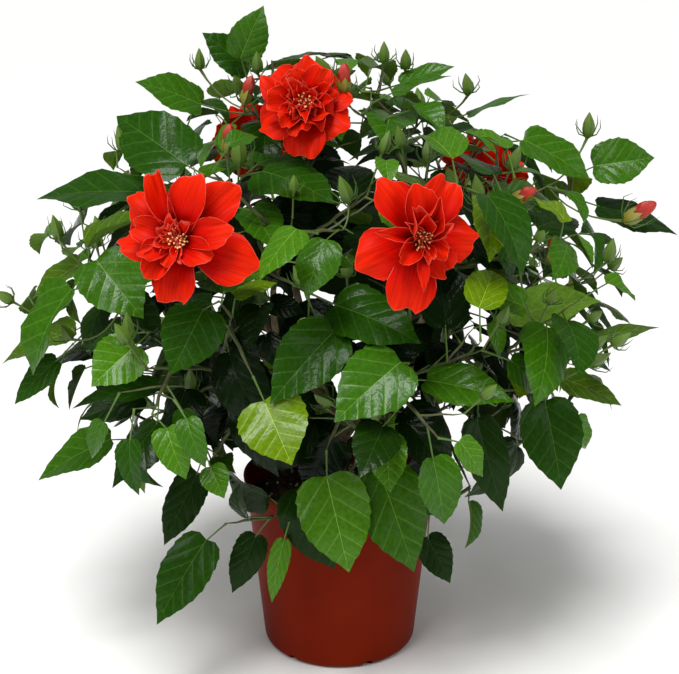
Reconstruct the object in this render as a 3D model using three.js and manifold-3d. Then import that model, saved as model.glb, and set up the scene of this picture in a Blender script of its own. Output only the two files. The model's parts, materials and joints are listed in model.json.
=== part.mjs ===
// A hibiscus shrub in its nursery pot, in millimetres, +Z up, with the origin under the middle of the pot.
//
// One short stem stands in the potting mix and forks into four limbs. Boughs leave the limbs and end where
// they enter a mass of foliage. Each mass keeps to its own cell of the crown: its leader grows on from the
// bough, side twigs and leaves follow a seeded rule, and whatever would leave the cell or touch a limb is
// skipped. The large double blooms stand on shoots of their own.
import * as THREE from 'three';
import { mergeVertices } from 'three/addons/utils/BufferGeometryUtils.js';
import Module from 'manifold-3d';

const wasm = await Module();
wasm.setup();

// ---------------------------------------------------------------- driving dimensions
const GAP = 0.3; // between neighbouring pieces
const FLAT = 0.1; // faces that lie in one plane to within this are merged
const DEG = Math.PI / 180;

const POT = {
  height: 227, rimRadius: 119, baseRadius: 96, wall: 2.6, floor: 3, corner: 11,
  band: 16, bandProud: 2.4, holes: 6, holeRadius: 7, firstHole: -68, sides: 28,
};
const SOIL_TOP = POT.height - 24;

const STEM = {
  foot: 15, neck: 10.5, flare: 26, tip: 9, height: 92, lean: [7, -4], upright: 0.12, sides: 12,
};
const LIMB = { count: 4, first: -50, root: 6.8, tip: 3.6, belly: 0.44, spread: 38.5, sides: 7, steps: 7 };
const BOUGH = { root: 4.6, tip: 3.4, belly: 0.4, sides: 5, steps: 3 };
const FORKS = [0.2, 0.42, 0.68, 0.8]; // how far along its limb a bough leaves, for each ring of masses

// The crown is a dome over a shorter skirt, a little shallower than it is wide.
const CROWN = {
  wide: 412, deep: 378, belt: 429, top: 782, hem: 152, frontHem: 212, domePower: 2.2, skirtPower: 2.3,
  bare: 0.3, // inside this share of its reach there are boughs and no leaves
};
// Where single shoots stand proud of it: over the top, out to the right, and low beside the pot.
const PROUD = [
  { at: [-100, 10, 746], radius: 64 }, { at: [352, -20, 560], radius: 62 },
  { at: [-205, -190, 190], radius: 72 }, { at: [158, -140, 196], radius: 52 },
];

// The crown's furthest leaf tips, and how steeply each of those leaves hangs.
const TIPS = [
  { at: [-82, 0, 807], hang: -0.5 }, { at: [398, -20, 541], hang: 0.3 }, { at: [361, -30, 638], hang: 0.1 },
  { at: [381, -30, 431], hang: 0 }, { at: [344, -40, 331], hang: 0.5 }, { at: [267, -120, 260], hang: 1.2 },
  { at: [131, -150, 151], hang: 1.5 }, { at: [-213, -190, 116], hang: 1 }, { at: [-360, -90, 262], hang: 0.4 },
  { at: [-409, -20, 382], hang: 0.3 }, { at: [-343, -40, 582], hang: 0.2 }, { at: [221, 0, 705], hang: 0.1 },
  { at: [-120, -200, 160], hang: 1.5 }, { at: [-371, -30, 471], hang: 0.6 },
];

// Rings of foliage masses: how many, the bearing of the first, the radius and height of their middles.
const RINGS = [
  { name: 'low', count: 5, first: -88, radius: 256, height: 272 },
  { name: 'middle', count: 7, first: -78, radius: 274, height: 434 },
  { name: 'upper', count: 5, first: -104, radius: 208, height: 600 },
  { name: 'top', count: 2, first: 172, radius: 76, height: 704 },
];

const SEED = 101; // each mass draws from its own stream, a few steps on from this
const TWIG = {
  root: 3, tip: 2.2, sides: 5, length: [80, 150], leader: 130, shortest: 30, stride: 9, reach: 0.9,
  turn: 137.5, sway: 40, ahead: 0.7, spread: 0.95, lift: 0.2, first: 14,
};
const LEAF = {
  length: [100, 128], breadth: 0.66, thick: 2, droop: 0.15, widest: 0.32, shoulder: 0.68, shoulderHalf: 0.66,
  petiole: [26, 42], petioleRadius: 0.95, internode: 23.5, turn: 144, apart: 10, fromTwigs: 4.5,
  tries: 9, retryTurn: 51, retryShrink: 0.045,
  furthest: 0.85, // the length of the leaves at the crown's furthest tips, as a share of the shortest
};
const BUD = { stalk: 38, length: 30, radius: 7, share: 0.4 };

// How far each kind keeps from its cell's walls, and from limbs, blooms and other things.
const CLEAR = {
  leaf: { cell: 2.5, gap: 9 }, bud: { cell: 8, gap: 9 },
  twigRoot: { cell: 4, gap: 1 }, twig: { cell: 4, gap: 6 },
  pot: 5,
};

// Double blooms: where the middle of each stands, which way it faces, and its width.
const BLOOMS = [
  { name: 'left', at: [-155, -278, 605], face: [-0.22, -0.93, 0.3], width: 146 },
  { name: 'right', at: [78, -287, 598], face: [0.12, -0.95, 0.26], width: 134 },
  { name: 'top', at: [-38, -126, 713], face: [-0.05, -0.86, 0.5], width: 112 },
  { name: 'rear_left', at: [-118, 262, 604], face: [-0.3, 0.88, 0.36], width: 132 },
  { name: 'rear_right', at: [196, 214, 566], face: [0.55, 0.78, 0.3], width: 138 },
];
const BLOOM = {
  outer: 5, inner: 4, heart: 10, stalkRadius: 2.4, calyx: 30, cup: 0.26, depth: 0.13, takeOff: 0.74,
  window: 120, // how far in front of a bloom leaves stay out of its light
};

// ---------------------------------------------------------------- small tools
const vec = (x, y, z) => new THREE.Vector3(x, y, z);
const UP = vec(0, 0, 1);
const ASIDE = vec(0.31, 0.87, -0.38); // a direction that no limb runs along, to square their rings to
const mix = (a, b, t) => a + (b - a) * t;

/** A seeded stream of numbers from 0 to 1. */
function seeded(seed) {
  let state = seed;
  return () => {
    state = (state + 0x6d2b79f5) | 0;
    let t = Math.imul(state ^ (state >>> 15), 1 | state);
    t = (t + Math.imul(t ^ (t >>> 7), 61 | t)) ^ t;
    return ((t ^ (t >>> 14)) >>> 0) / 4294967296;
  };
}

/** The part of a vector that is square to an axis, as a unit vector. */
function squareTo(axis, v) {
  return v.clone().addScaledVector(axis, -v.dot(axis)).normalize();
}

/** A closed three.js geometry as a solid, with its vertices shared and its empty triangles dropped. */
function solid(geometry) {
  const bare = geometry.clone();
  bare.deleteAttribute('normal');
  bare.deleteAttribute('uv');
  const shared = mergeVertices(bare, 1e-3);
  const index = shared.index.array;
  const corners = [];
  for (let i = 0; i < index.length; i += 3) {
    const [a, b, c] = [index[i], index[i + 1], index[i + 2]];
    if (a !== b && b !== c && c !== a) corners.push(a, b, c);
  }
  const vertProperties = new Float32Array(shared.attributes.position.array);
  const mesh = new wasm.Mesh({ numProp: 3, vertProperties, triVerts: new Uint32Array(corners) });
  return new wasm.Manifold(mesh);
}

/** All the pieces joined, as the one body that holds nearly all of the volume. */
function fuse(pieces) {
  const joined = pieces.reduce((sum, piece) => sum.add(piece)).asOriginal().simplify(FLAT);
  return joined.decompose().reduce((a, b) => (b.volume() > a.volume() ? b : a));
}

/** A solid back as a geometry. */
function geometryOf(body) {
  const { vertProperties, triVerts } = body.getMesh();
  const geometry = new THREE.BufferGeometry();
  geometry.setAttribute('position', new THREE.BufferAttribute(vertProperties, 3));
  geometry.setIndex(new THREE.BufferAttribute(triVerts, 1));
  geometry.computeVertexNormals();
  return geometry;
}

/** A round tapering limb whose rings stand at the given points: a cylinder bent along them. Its end rings
 * may be turned square to headings of their own. */
function limbGeometry(points, radiusAt, sides, firstHeading, lastHeading) {
  const steps = points.length - 1;
  const geometry = new THREE.CylinderGeometry(1, 1, 1, sides, steps);
  const rings = points.map((point, i) => {
    const chord = points[Math.min(i + 1, steps)].clone().sub(points[Math.max(i - 1, 0)]).normalize();
    const along = (i === 0 && firstHeading) || (i === steps && lastHeading) || chord;
    const across = squareTo(along, ASIDE);
    return { point, across, other: across.clone().cross(along), radius: radiusAt(i / steps) };
  });
  const position = geometry.attributes.position;
  for (let v = 0; v < position.count; v += 1) {
    const { point, across, other, radius } = rings[Math.round((position.getY(v) + 0.5) * steps)];
    const place = point.clone().addScaledVector(across, position.getX(v) * radius);
    place.addScaledVector(other, position.getZ(v) * radius);
    position.setXYZ(v, place.x, place.y, place.z);
  }
  return geometry;
}

const taper = (root, tip) => (t) => mix(root, tip, t);

/** A flat ball of a few faces whose rim follows an outline and whose poles are its two faces. */
function bladeGeometry(outline, top, bottom) {
  const geometry = new THREE.SphereGeometry(1, outline.length, 2);
  const position = geometry.attributes.position;
  for (let v = 0; v < position.count; v += 1) {
    const height = position.getY(v);
    const bearing = Math.atan2(position.getZ(v), -position.getX(v)) / (2 * Math.PI) + 1;
    const place = Math.abs(height) < 0.5
      ? outline[Math.round(bearing * outline.length) % outline.length]
      : height > 0 ? top : bottom;
    position.setXYZ(v, place.x, place.y, place.z);
  }
  return geometry;
}

// ---------------------------------------------------------------- the crown and its cells
/** How far out a point lies in the crown: 1 on its surface. The hem is higher in front, over the pot. */
function crownReach(p) {
  const front = Math.max(0, -p.y / Math.hypot(p.x, p.y)) ** 4;
  const low = p.z < CROWN.belt;
  const power = low ? CROWN.skirtPower : CROWN.domePower;
  const end = low ? mix(CROWN.hem, CROWN.frontHem, front) : CROWN.top;
  const rise = Math.max(0, (p.z - CROWN.belt) / (end - CROWN.belt));
  return (Math.hypot(p.x / CROWN.wide, p.y / CROWN.deep) ** power + rise ** power) ** (1 / power);
}

const proudSpots = PROUD.map(({ at, radius }) => ({ at: vec(...at), radius }));

/** In the leafy part of the crown, out to a share of its reach, or in a spot that stands proud of it. */
function insideCrown(p, share) {
  const reach = crownReach(p);
  return (reach < share && reach > CROWN.bare)
    || proudSpots.some(({ at, radius }) => p.distanceTo(at) < radius * share);
}

/** Outside the pot and the space over its mouth. */
function clearOfPot(p, gap) {
  const out = Math.hypot(p.x, p.y);
  return out > POT.rimRadius + POT.bandProud + gap || p.z > POT.height + gap;
}

const masses = RINGS.flatMap((ring, level) => Array.from({ length: ring.count }, (_, i) => {
  const bearing = (ring.first + (360 / ring.count) * i) * DEG;
  const squash = CROWN.deep / CROWN.wide;
  const middle = vec(Math.cos(bearing), Math.sin(bearing) * squash, 0).multiplyScalar(ring.radius);
  middle.z = ring.height;
  return { name: `${ring.name}_${i + 1}`, level, bearing, middle, seed: SEED + 37 * level + 11 * i };
}));

/** Whether a point lies in a mass's own cell, with a margin to each neighbouring cell. */
function inCell(p, mass, margin) {
  return masses.every((other) => {
    if (other === mass) return true;
    const apart = other.middle.distanceTo(mass.middle);
    const nearer = p.distanceToSquared(other.middle) - p.distanceToSquared(mass.middle);
    return nearer / (2 * apart) > margin;
  });
}

// ---------------------------------------------------------------- things that foliage keeps clear of
const rods = []; // straight stretches of stem, limb, bough and flower shoot
const balls = []; // the space of each bloom, and the light in front of it

function addRods(points, radiusAt) {
  for (let i = 1; i < points.length; i += 1) {
    rods.push({ from: points[i - 1], to: points[i], radius: radiusAt((i - 1) / (points.length - 1)) });
  }
}

const stretch = new THREE.Line3();
const nearest = vec(0, 0, 0);
function rodGap(p, rod) {
  stretch.set(rod.from, rod.to).closestPointToPoint(p, true, nearest);
  return nearest.distanceTo(p) - rod.radius;
}
const clearOfRods = (p, gap, list) => list.every((rod) => rodGap(p, rod) > gap);
const clearOfBalls = (p, gap) => balls.every((ball) => p.distanceTo(ball.at) > ball.radius + gap);

/** A spot where foliage of one kind may be in this mass, out to a share of the crown's reach. */
function free(p, mass, kind, share = 1) {
  return insideCrown(p, share) && inCell(p, mass, kind.cell) && clearOfPot(p, CLEAR.pot)
    && clearOfBalls(p, kind.gap) && clearOfRods(p, kind.gap, rods);
}

// ---------------------------------------------------------------- stem, limbs and boughs
const stemFoot = vec(0, 0, SOIL_TOP + GAP);
const stemPoints = [0, STEM.upright, 0.28, 0.62, 1].map((t) => {
  const bend = Math.max(0, t - STEM.upright) ** 1.5; // the foot itself is upright, so its cut is level
  return vec(STEM.lean[0] * bend, STEM.lean[1] * bend, stemFoot.z + STEM.height * t);
});
const stemRadius = (t) => mix(STEM.neck, STEM.tip, t)
  + (STEM.foot - STEM.neck) * Math.max(0, 1 - (t * STEM.height) / STEM.flare) ** 2;

/** A curve that leaves `from` along `heading` and comes to `to`. */
function reachCurve(from, heading, to, belly) {
  const bend = from.clone().addScaledVector(heading, from.distanceTo(to) * belly);
  return new THREE.QuadraticBezierCurve3(from, bend, to);
}

/** Where a curve enters a mass's cell for good, as a share of its length. */
function entry(curve, mass) {
  let t = 1;
  const within = (p) => inCell(p, mass, 9) && crownReach(p) > CROWN.bare;
  while (t > 0.3 && within(curve.getPoint(t - 0.02))) t -= 0.02;
  return t;
}

/** The points of a curve from its start to a share of its length. */
function upTo(curve, share, steps) {
  return Array.from({ length: steps + 1 }, (_, i) => curve.getPoint((share * i) / steps));
}

const limbs = [];
const boughs = [];
const stemTop = stemPoints.at(-1);

/** The limb whose bearing is nearest to a mass's. */
function limbFor(mass) {
  const turn = (limb) => Math.abs(Math.atan2(
    Math.sin(mass.bearing - limb.bearing), Math.cos(mass.bearing - limb.bearing)));
  return limbs.reduce((best, limb) => (turn(limb) < turn(best) ? limb : best));
}

/** A limb or bough that runs from a point along a heading to where it enters its mass. */
function runTo(mass, name, from, heading, size) {
  const curve = reachCurve(from, heading.normalize(), mass.middle, size.belly);
  const share = entry(curve, mass);
  mass.feed = { curve, share, radius: size.tip, heading: curve.getTangent(share) };
  return { name, bearing: mass.bearing, curve, share, points: upTo(curve, share, size.steps) };
}

// The limbs' own tips feed two masses of the top ring and two of the upper ring.
['upper_2', 'top_2', 'top_1', 'upper_5'].forEach((name, i) => {
  const bearing = (LIMB.first + (360 / LIMB.count) * i) * DEG;
  const out = Math.sin(LIMB.spread * DEG);
  const heading = vec(Math.cos(bearing) * out, Math.sin(bearing) * out, Math.cos(LIMB.spread * DEG));
  const from = stemPoints[3].clone().lerp(stemTop, 0.35 + 0.5 * (i % 2));
  const limb = runTo(masses.find((mass) => mass.name === name), `limb_${i + 1}`, from, heading, LIMB);
  limbs.push({ ...limb, bearing });
});

masses.filter((mass) => !mass.feed).forEach((mass) => {
  const limb = limbFor(mass);
  const fork = limb.share * (FORKS[mass.level] + 0.05 * ((mass.seed % 3) - 1));
  const from = limb.curve.getPoint(fork);
  const out = mass.middle.clone().sub(from).normalize();
  const heading = limb.curve.getTangent(fork).multiplyScalar(0.55).add(out);
  boughs.push(runTo(mass, `bough_${mass.name}`, from, heading, BOUGH));
});

limbs.forEach((limb) => addRods(limb.points, taper(LIMB.root, LIMB.tip)));
boughs.forEach((bough) => addRods(bough.points, taper(BOUGH.root, BOUGH.tip)));
addRods(stemPoints, stemRadius);

const stemBody = solid(limbGeometry(stemPoints, stemRadius, STEM.sides));
const overTop = [...stemPoints.slice(0, -1), stemTop.clone().addScaledVector(UP, GAP)];
const widerStem = solid(limbGeometry(overTop, (t) => stemRadius(t) + GAP, STEM.sides));

/** A limb's solid, cut clear of the pieces that it springs from, and the same with a gap on all sides. */
function addSprung(limb, size, parents) {
  const { points, curve, share } = limb;
  const heading = curve.getTangent(share);
  const whole = solid(limbGeometry(points, taper(size.root, size.tip), size.sides, null, heading));
  limb.body = fuse([parents.reduce((body, parent) => body.subtract(parent), whole)]);
  const beyond = points.at(-1).clone().addScaledVector(heading, GAP);
  limb.wider = solid(limbGeometry([...points.slice(0, -1), beyond],
    taper(size.root + GAP, size.tip + GAP), size.sides, null, heading));
}

const grown = [widerStem];
limbs.forEach((limb) => {
  addSprung(limb, LIMB, grown);
  grown.push(limb.wider);
});
boughs.forEach((bough) => {
  addSprung(bough, BOUGH, grown);
  grown.push(bough.wider);
});

// ---------------------------------------------------------------- blooms on their own shoots
/** A petal as a fan from the heart of the bloom, cupped towards the face. */
function petal(heart, face, outward, length, breadth, lift) {
  const across = face.clone().cross(outward);
  const at = (u, v, h) => heart.clone().addScaledVector(outward, mix(BLOOM.heart * 0.55, length, u))
    .addScaledVector(across, v * breadth).addScaledVector(face, h * length);
  const outline = [
    at(0, 0, 0), at(0.34, -0.38, lift * 0.5), at(0.76, -0.5, lift), at(1, -0.16, lift * 0.6),
    at(0.98, 0.3, lift * 0.7), at(0.45, 0.48, lift * 0.6),
  ];
  return solid(bladeGeometry(outline, at(0.5, 0, lift * 0.3 + 0.02), at(0.5, 0, lift * 0.3 - 0.04)));
}

/** A bloom's solid: flower stalk, calyx, a ring of broad petals and a ruff of small ones at the heart. */
function bloomBody(bloom, stalk) {
  const face = vec(...bloom.face).normalize();
  const side = squareTo(face, UP);
  const heart = vec(...bloom.at).addScaledVector(face, -bloom.width * BLOOM.depth);
  const back = heart.clone().addScaledVector(face, -BLOOM.calyx);
  const shifted = (step) => heart.clone().addScaledVector(face, step);
  const stalkIn = [...stalk.slice(0, -1), back.clone().addScaledVector(face, 5)];
  const swell = [0.5, 0.9, 1];
  const pieces = [
    solid(limbGeometry(stalkIn, () => BLOOM.stalkRadius, 3)),
    solid(limbGeometry([back, shifted(-7), shifted(9)], (t) => BLOOM.heart * swell[Math.round(t * 2)], 6)),
  ];
  const ring = (count, turn, rise, length, breadth, lift) => {
    for (let i = 0; i < count; i += 1) {
      const outward = side.clone().applyAxisAngle(face, turn + (2 * Math.PI * i) / count);
      pieces.push(petal(shifted(rise), face, outward, length, breadth, lift));
    }
  };
  ring(BLOOM.outer, 0.2, -3, bloom.width * 0.5, bloom.width * 0.44, BLOOM.cup);
  ring(BLOOM.inner, 0.85, 5, bloom.width * 0.27, bloom.width * 0.2, BLOOM.cup * 3.4);
  return fuse(pieces);
}

BLOOMS.forEach((bloom) => {
  const face = vec(...bloom.face).normalize();
  const at = vec(...bloom.at);
  balls.push({ at, radius: bloom.width * 0.52 });
  balls.push({ at: at.clone().addScaledVector(face, BLOOM.window / 2), radius: bloom.width * 0.46 });
  balls.push({ at: at.clone().addScaledVector(face, BLOOM.window), radius: bloom.width * 0.42 });
});

/** The flower stalk's points: off the nearest limb or bough a little before its tip, and up behind. */
function stalkPoints(bloom) {
  const face = vec(...bloom.face).normalize();
  const back = vec(...bloom.at).addScaledVector(face, -bloom.width * BLOOM.depth - BLOOM.calyx);
  const reach = (limb) => limb.points.at(-1).distanceTo(back);
  const host = [...boughs, ...limbs].reduce((best, limb) => (reach(limb) < reach(best) ? limb : best));
  const from = host.curve.getPoint(host.share * BLOOM.takeOff);
  const bend = from.clone().lerp(back, 0.55).addScaledVector(UP, -12).addScaledVector(face, -14);
  return upTo(new THREE.QuadraticBezierCurve3(from, bend, back), 1, 4);
}

const bloomShoots = BLOOMS.map((bloom) => ({ bloom, points: stalkPoints(bloom) }));
bloomShoots.forEach((shoot) => {
  shoot.body = bloomBody(shoot.bloom, shoot.points);
  shoot.body = fuse([grown.reduce((body, wider) => body.subtract(wider), shoot.body)]);
  addRods(shoot.points, () => BLOOM.stalkRadius);
});

// ---------------------------------------------------------------- foliage
/** Half the breadth of a leaf, as a share of its greatest, along its length. */
function leafHalf(u) {
  if (u < LEAF.widest) return u / LEAF.widest;
  if (u < LEAF.shoulder) return mix(1, LEAF.shoulderHalf, (u - LEAF.widest) / (LEAF.shoulder - LEAF.widest));
  return mix(LEAF.shoulderHalf, 0, (u - LEAF.shoulder) / (1 - LEAF.shoulder));
}

/** A point on a leaf's blade: u along it and v across it from -1 to 1. Its tip hangs. */
function leafPoint(leaf, u, v) {
  return leaf.base.clone().addScaledVector(leaf.along, u * leaf.length)
    .addScaledVector(leaf.across, v * leafHalf(u) * leaf.breadth * 0.5)
    .addScaledVector(leaf.face, -LEAF.droop * leaf.length * u * u);
}

const LEAF_NET = [0, 0.16, LEAF.widest, 0.5, LEAF.shoulder, 0.84, 1].flatMap(
  (u) => [-1, -0.5, 0, 0.5, 1].map((v) => [u, v]));

/** A leaf that stands off its node on a petiole and hangs, with its face to the light. */
function poseLeaf(node, reach, petiole, length, rand) {
  const base = node.clone().addScaledVector(reach, petiole);
  const light = vec(base.x / CROWN.wide, base.y / CROWN.deep, (base.z - CROWN.belt) / CROWN.wide).normalize();
  const height = (base.z - CROWN.hem) / (CROWN.top - CROWN.hem);
  const tilt = rand();
  const face = light.clone().multiplyScalar(mix(0.3, 1.1, tilt)).addScaledVector(UP, mix(1, 0.4, tilt));
  face.add(vec(rand() - 0.5, rand() - 0.5, rand() - 0.5).multiplyScalar(0.6)).normalize();
  const lean = reach.clone().addScaledVector(light, 0.6).addScaledVector(UP, mix(-0.6, 0.2, height));
  const along = squareTo(face, lean);
  const across = face.clone().cross(along);
  return { node, reach, base, along, face, across, length, breadth: length * LEAF.breadth };
}

/** The leaf's net of points, if all of it is free and clear of the mass's other leaves. */
function fittedNet(leaf, mass, twigRods, nets, share = 1) {
  if (leaf.reach.dot(leaf.along) < 0.2 || Math.abs(leaf.reach.dot(leaf.across)) > 0.75) return null;
  const net = [];
  for (const [u, v] of LEAF_NET) {
    const p = leafPoint(leaf, u, v);
    if (!free(p, mass, CLEAR.leaf, share) || !clearOfRods(p, LEAF.fromTwigs, twigRods)) return null;
    net.push(p);
  }
  const crosses = nets.some((other) => other.some((q) => net.some((p) => p.distanceTo(q) < LEAF.apart)));
  return crosses ? null : net;
}

/** A leaf: a three-sided petiole that spreads into a thin blade with a keel, and ends in a point. */
function leafBody(leaf) {
  const across = squareTo(leaf.reach, leaf.across);
  const face = leaf.reach.clone().cross(across);
  const rod = (at) => (x, keel) => at.clone().addScaledVector(across, x * LEAF.petioleRadius)
    .addScaledVector(face, -keel * LEAF.petioleRadius);
  const blade = (u) => (x, keel) => leafPoint(leaf, u, Math.sign(Math.round(x)))
    .addScaledVector(leaf.face, leafHalf(u) * LEAF.thick * (keel > 0 ? -0.6 : 0.4));
  const rings = [rod(leaf.node), rod(leaf.base), blade(LEAF.widest), blade(LEAF.shoulder), blade(1)];
  const steps = rings.length - 1;
  const sweep = new THREE.CylinderGeometry(1, 1, 1, 3, steps).rotateX(Math.PI);
  const position = sweep.attributes.position;
  for (let v = 0; v < position.count; v += 1) {
    const ring = rings[Math.round((0.5 - position.getY(v)) * steps)];
    const [x, keel] = [position.getX(v), -position.getZ(v)];
    const place = Math.hypot(x, keel) > 0.5 ? ring(x, keel) : ring(0, 0);
    position.setXYZ(v, place.x, place.y, place.z);
  }
  return solid(sweep);
}

/** How far a straight twig can run from a start along a heading before it meets something. */
function freeRun(start, heading, length, mass, share = TWIG.reach) {
  let run = 0;
  while (run < length) {
    const next = Math.min(run + TWIG.stride, length);
    const kind = next > 2 * TWIG.stride ? CLEAR.twig : CLEAR.twigRoot;
    if (!free(start.clone().addScaledVector(heading, next), mass, kind, share)) break;
    run = next;
  }
  return run;
}

/** A broken line that can be walked: the point and the heading at a distance from its start. */
function walk(points) {
  const path = new THREE.CurvePath();
  points.slice(1).forEach((to, i) => path.add(new THREE.LineCurve3(points[i], to)));
  const length = path.getLength();
  return { length, at: (s) => path.getPoint(s / length), heading: (s) => path.getTangent(s / length) };
}

/** The mass's own stem, on from its bough's tip through the middle of its cell, as far as it is free. */
function growLeader(mass) {
  const { curve, share } = mass.feed;
  const outward = mass.middle.clone().setZ(mass.middle.z - CROWN.belt).normalize();
  const rise = mass.level === 0 ? -0.25 : 0.15;
  const heading = curve.getTangent(1).lerp(outward, 0.6).addScaledVector(UP, rise);
  const run = freeRun(mass.middle, heading.normalize(), TWIG.leader, mass);
  const start = curve.getPoint(share).addScaledVector(curve.getTangent(share), GAP);
  const points = [start, mass.middle.clone()];
  if (run > TWIG.shortest) points.push(mass.middle.clone().addScaledVector(heading, run));
  return points;
}

/** The leader and the side twigs that leave it by turns. */
function growTwigs(mass, rand) {
  const leader = growLeader(mass);
  const line = walk(leader);
  const { radius, heading } = mass.feed;
  const twigs = [{ points: leader, root: radius, tip: TWIG.tip, firstHeading: heading }];
  for (let i = 0; i < TWIG.sides; i += 1) {
    const s = mix(TWIG.first, line.length * 0.95, (i + 0.5 * rand()) / TWIG.sides);
    const [from, axis] = [line.at(s), line.heading(s)];
    const out = squareTo(axis, UP).applyAxisAngle(axis, (TWIG.turn * i + TWIG.sway * rand()) * DEG);
    const direction = axis.multiplyScalar(TWIG.ahead).addScaledVector(out, TWIG.spread);
    direction.addScaledVector(UP, TWIG.lift).normalize();
    const run = freeRun(from, direction, mix(...TWIG.length, rand()), mass);
    if (run < TWIG.shortest) continue;
    const points = [from, from.clone().addScaledVector(direction, run)];
    twigs.push({ points, root: TWIG.root, tip: TWIG.tip });
  }
  return twigs;
}

/** The shoots that carry the crown's furthest leaves: each runs straight out from the middle of its mass. */
function growFurthest(mass) {
  return TIPS.filter(({ at }) => inCell(vec(...at), mass, 0)).flatMap(({ at, hang }) => {
    const tip = vec(...at);
    const heading = tip.clone().sub(mass.middle).normalize();
    const along = heading.clone().addScaledVector(UP, -hang).normalize();
    const light = vec(tip.x / CROWN.wide, tip.y / CROWN.deep - 1, 2 + (tip.z - CROWN.belt) / CROWN.wide);
    const face = squareTo(along, light);
    const length = LEAF.length[0] * LEAF.furthest;
    const base = tip.clone().addScaledVector(along, -length).addScaledVector(face, LEAF.droop * length);
    const reach = along.clone().add(heading).normalize();
    const node = base.clone().addScaledVector(reach, -LEAF.petiole[0]);
    const across = face.clone().cross(along);
    const leaf = { node, reach, base, along, face, across, length, breadth: length * LEAF.breadth };
    const [toNode, far] = [node.clone().sub(mass.middle).normalize(), node.distanceTo(mass.middle)];
    const clear = freeRun(mass.middle, toNode, far, mass, Infinity) === far;
    const net = clear && fittedNet(leaf, mass, [], [], Infinity);
    return net ? [{ leaf, net, twig: { points: [mass.middle, node], root: TWIG.root, tip: TWIG.tip } }] : [];
  });
}

/** The first leaf that fits at a node, out of several turns about the twig. */
function growLeaf(node, axis, turn, atTip, mass, twigRods, nets, rand) {
  for (let k = 0; k < LEAF.tries; k += 1) {
    const out = squareTo(axis, ASIDE).applyAxisAngle(axis, (turn + LEAF.retryTurn * k) * DEG);
    const reach = out.addScaledVector(axis, 0.3 + (atTip ? rand() : 0)).normalize();
    const petiole = mix(...LEAF.petiole, rand());
    const length = mix(...LEAF.length, rand()) * (1 - LEAF.retryShrink * k);
    const leaf = poseLeaf(node, reach, petiole, length, rand);
    const net = fittedNet(leaf, mass, twigRods, nets);
    if (net) return { leaf, net };
  }
  return null;
}

/** Everything that one mass holds: its leader, side twigs and leaves. */
function growMass(mass) {
  const rand = seeded(mass.seed);
  const furthest = growFurthest(mass);
  const twigs = [...growTwigs(mass, rand), ...furthest.map(({ twig }) => twig)];
  const twigRods = twigs.flatMap(({ points, root }) => points.slice(1).map((to, i) => (
    { from: points[i], to, radius: root })));
  const found = [...furthest];
  twigs.forEach(({ points }) => {
    const line = walk(points);
    let turn = 360 * rand();
    for (let s = line.length - 4; s > line.length * 0.15; s -= LEAF.internode) {
      turn += LEAF.turn;
      const nets = found.map(({ net }) => net);
      const atTip = s > line.length - 5;
      const next = growLeaf(line.at(s), line.heading(s), turn, atTip, mass, twigRods, nets, rand);
      if (next) found.push(next);
    }
  });
  return { twigs, leaves: found.map(({ leaf }) => leaf), rand };
}

/** A bud on its stalk at a twig's tip, where there is room for it. */
function budBodies(twig, mass, rand) {
  const tip = twig.points.at(-1);
  const axis = tip.clone().sub(twig.points.at(-2)).normalize().addScaledVector(UP, 0.5).normalize();
  const foot = tip.clone().addScaledVector(axis, BUD.stalk);
  const end = foot.clone().addScaledVector(axis, BUD.length);
  if (rand() > BUD.share || !free(foot, mass, CLEAR.bud) || !free(end, mass, CLEAR.bud)) return [];
  const across = squareTo(axis, ASIDE);
  const shape = new THREE.OctahedronGeometry(1);
  const frame = new THREE.Matrix4().makeBasis(
    across.clone().multiplyScalar(BUD.radius), axis.clone().multiplyScalar(BUD.length / 2),
    across.clone().cross(axis).multiplyScalar(BUD.radius));
  shape.applyMatrix4(frame.setPosition(foot.clone().lerp(end, 0.5)));
  return [solid(limbGeometry([tip, foot.clone().lerp(end, 0.2)], () => 1.1, 3)), solid(shape)];
}

/** A mass of foliage as one solid. */
function massBody(mass) {
  const { twigs, leaves, rand } = growMass(mass);
  const pieces = twigs.map(({ points, root, tip, firstHeading }) => (
    solid(limbGeometry(points, taper(root, tip), 3, firstHeading))));
  leaves.forEach((leaf) => pieces.push(leafBody(leaf)));
  twigs.forEach((twig) => pieces.push(...budBodies(twig, mass, rand)));
  return fuse(pieces);
}

// ---------------------------------------------------------------- pot and potting mix
/** The pot's closed profile: out along the underside, up the wall and its band, and down the inside. */
function potProfile() {
  const { height, rimRadius, baseRadius, wall, floor, corner, band, bandProud } = POT;
  const radiusAt = (z) => mix(baseRadius, rimRadius, z / height);
  const arc = (radius, centreX, centreZ) => [0, 45, 90].map((turn) => new THREE.Vector2(
    centreX + radius * Math.sin(turn * DEG), centreZ - radius * Math.cos(turn * DEG)));
  const outerX = radiusAt(corner) - corner;
  return [
    new THREE.Vector2(0, 0), ...arc(corner, outerX, corner),
    new THREE.Vector2(radiusAt(height - band), height - band),
    new THREE.Vector2(radiusAt(height - band) + bandProud, height - band + 2),
    new THREE.Vector2(rimRadius + bandProud, height), new THREE.Vector2(rimRadius - wall, height),
    ...arc(corner - wall, outerX, corner + floor - wall).reverse(), new THREE.Vector2(0, floor),
  ];
}

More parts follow.
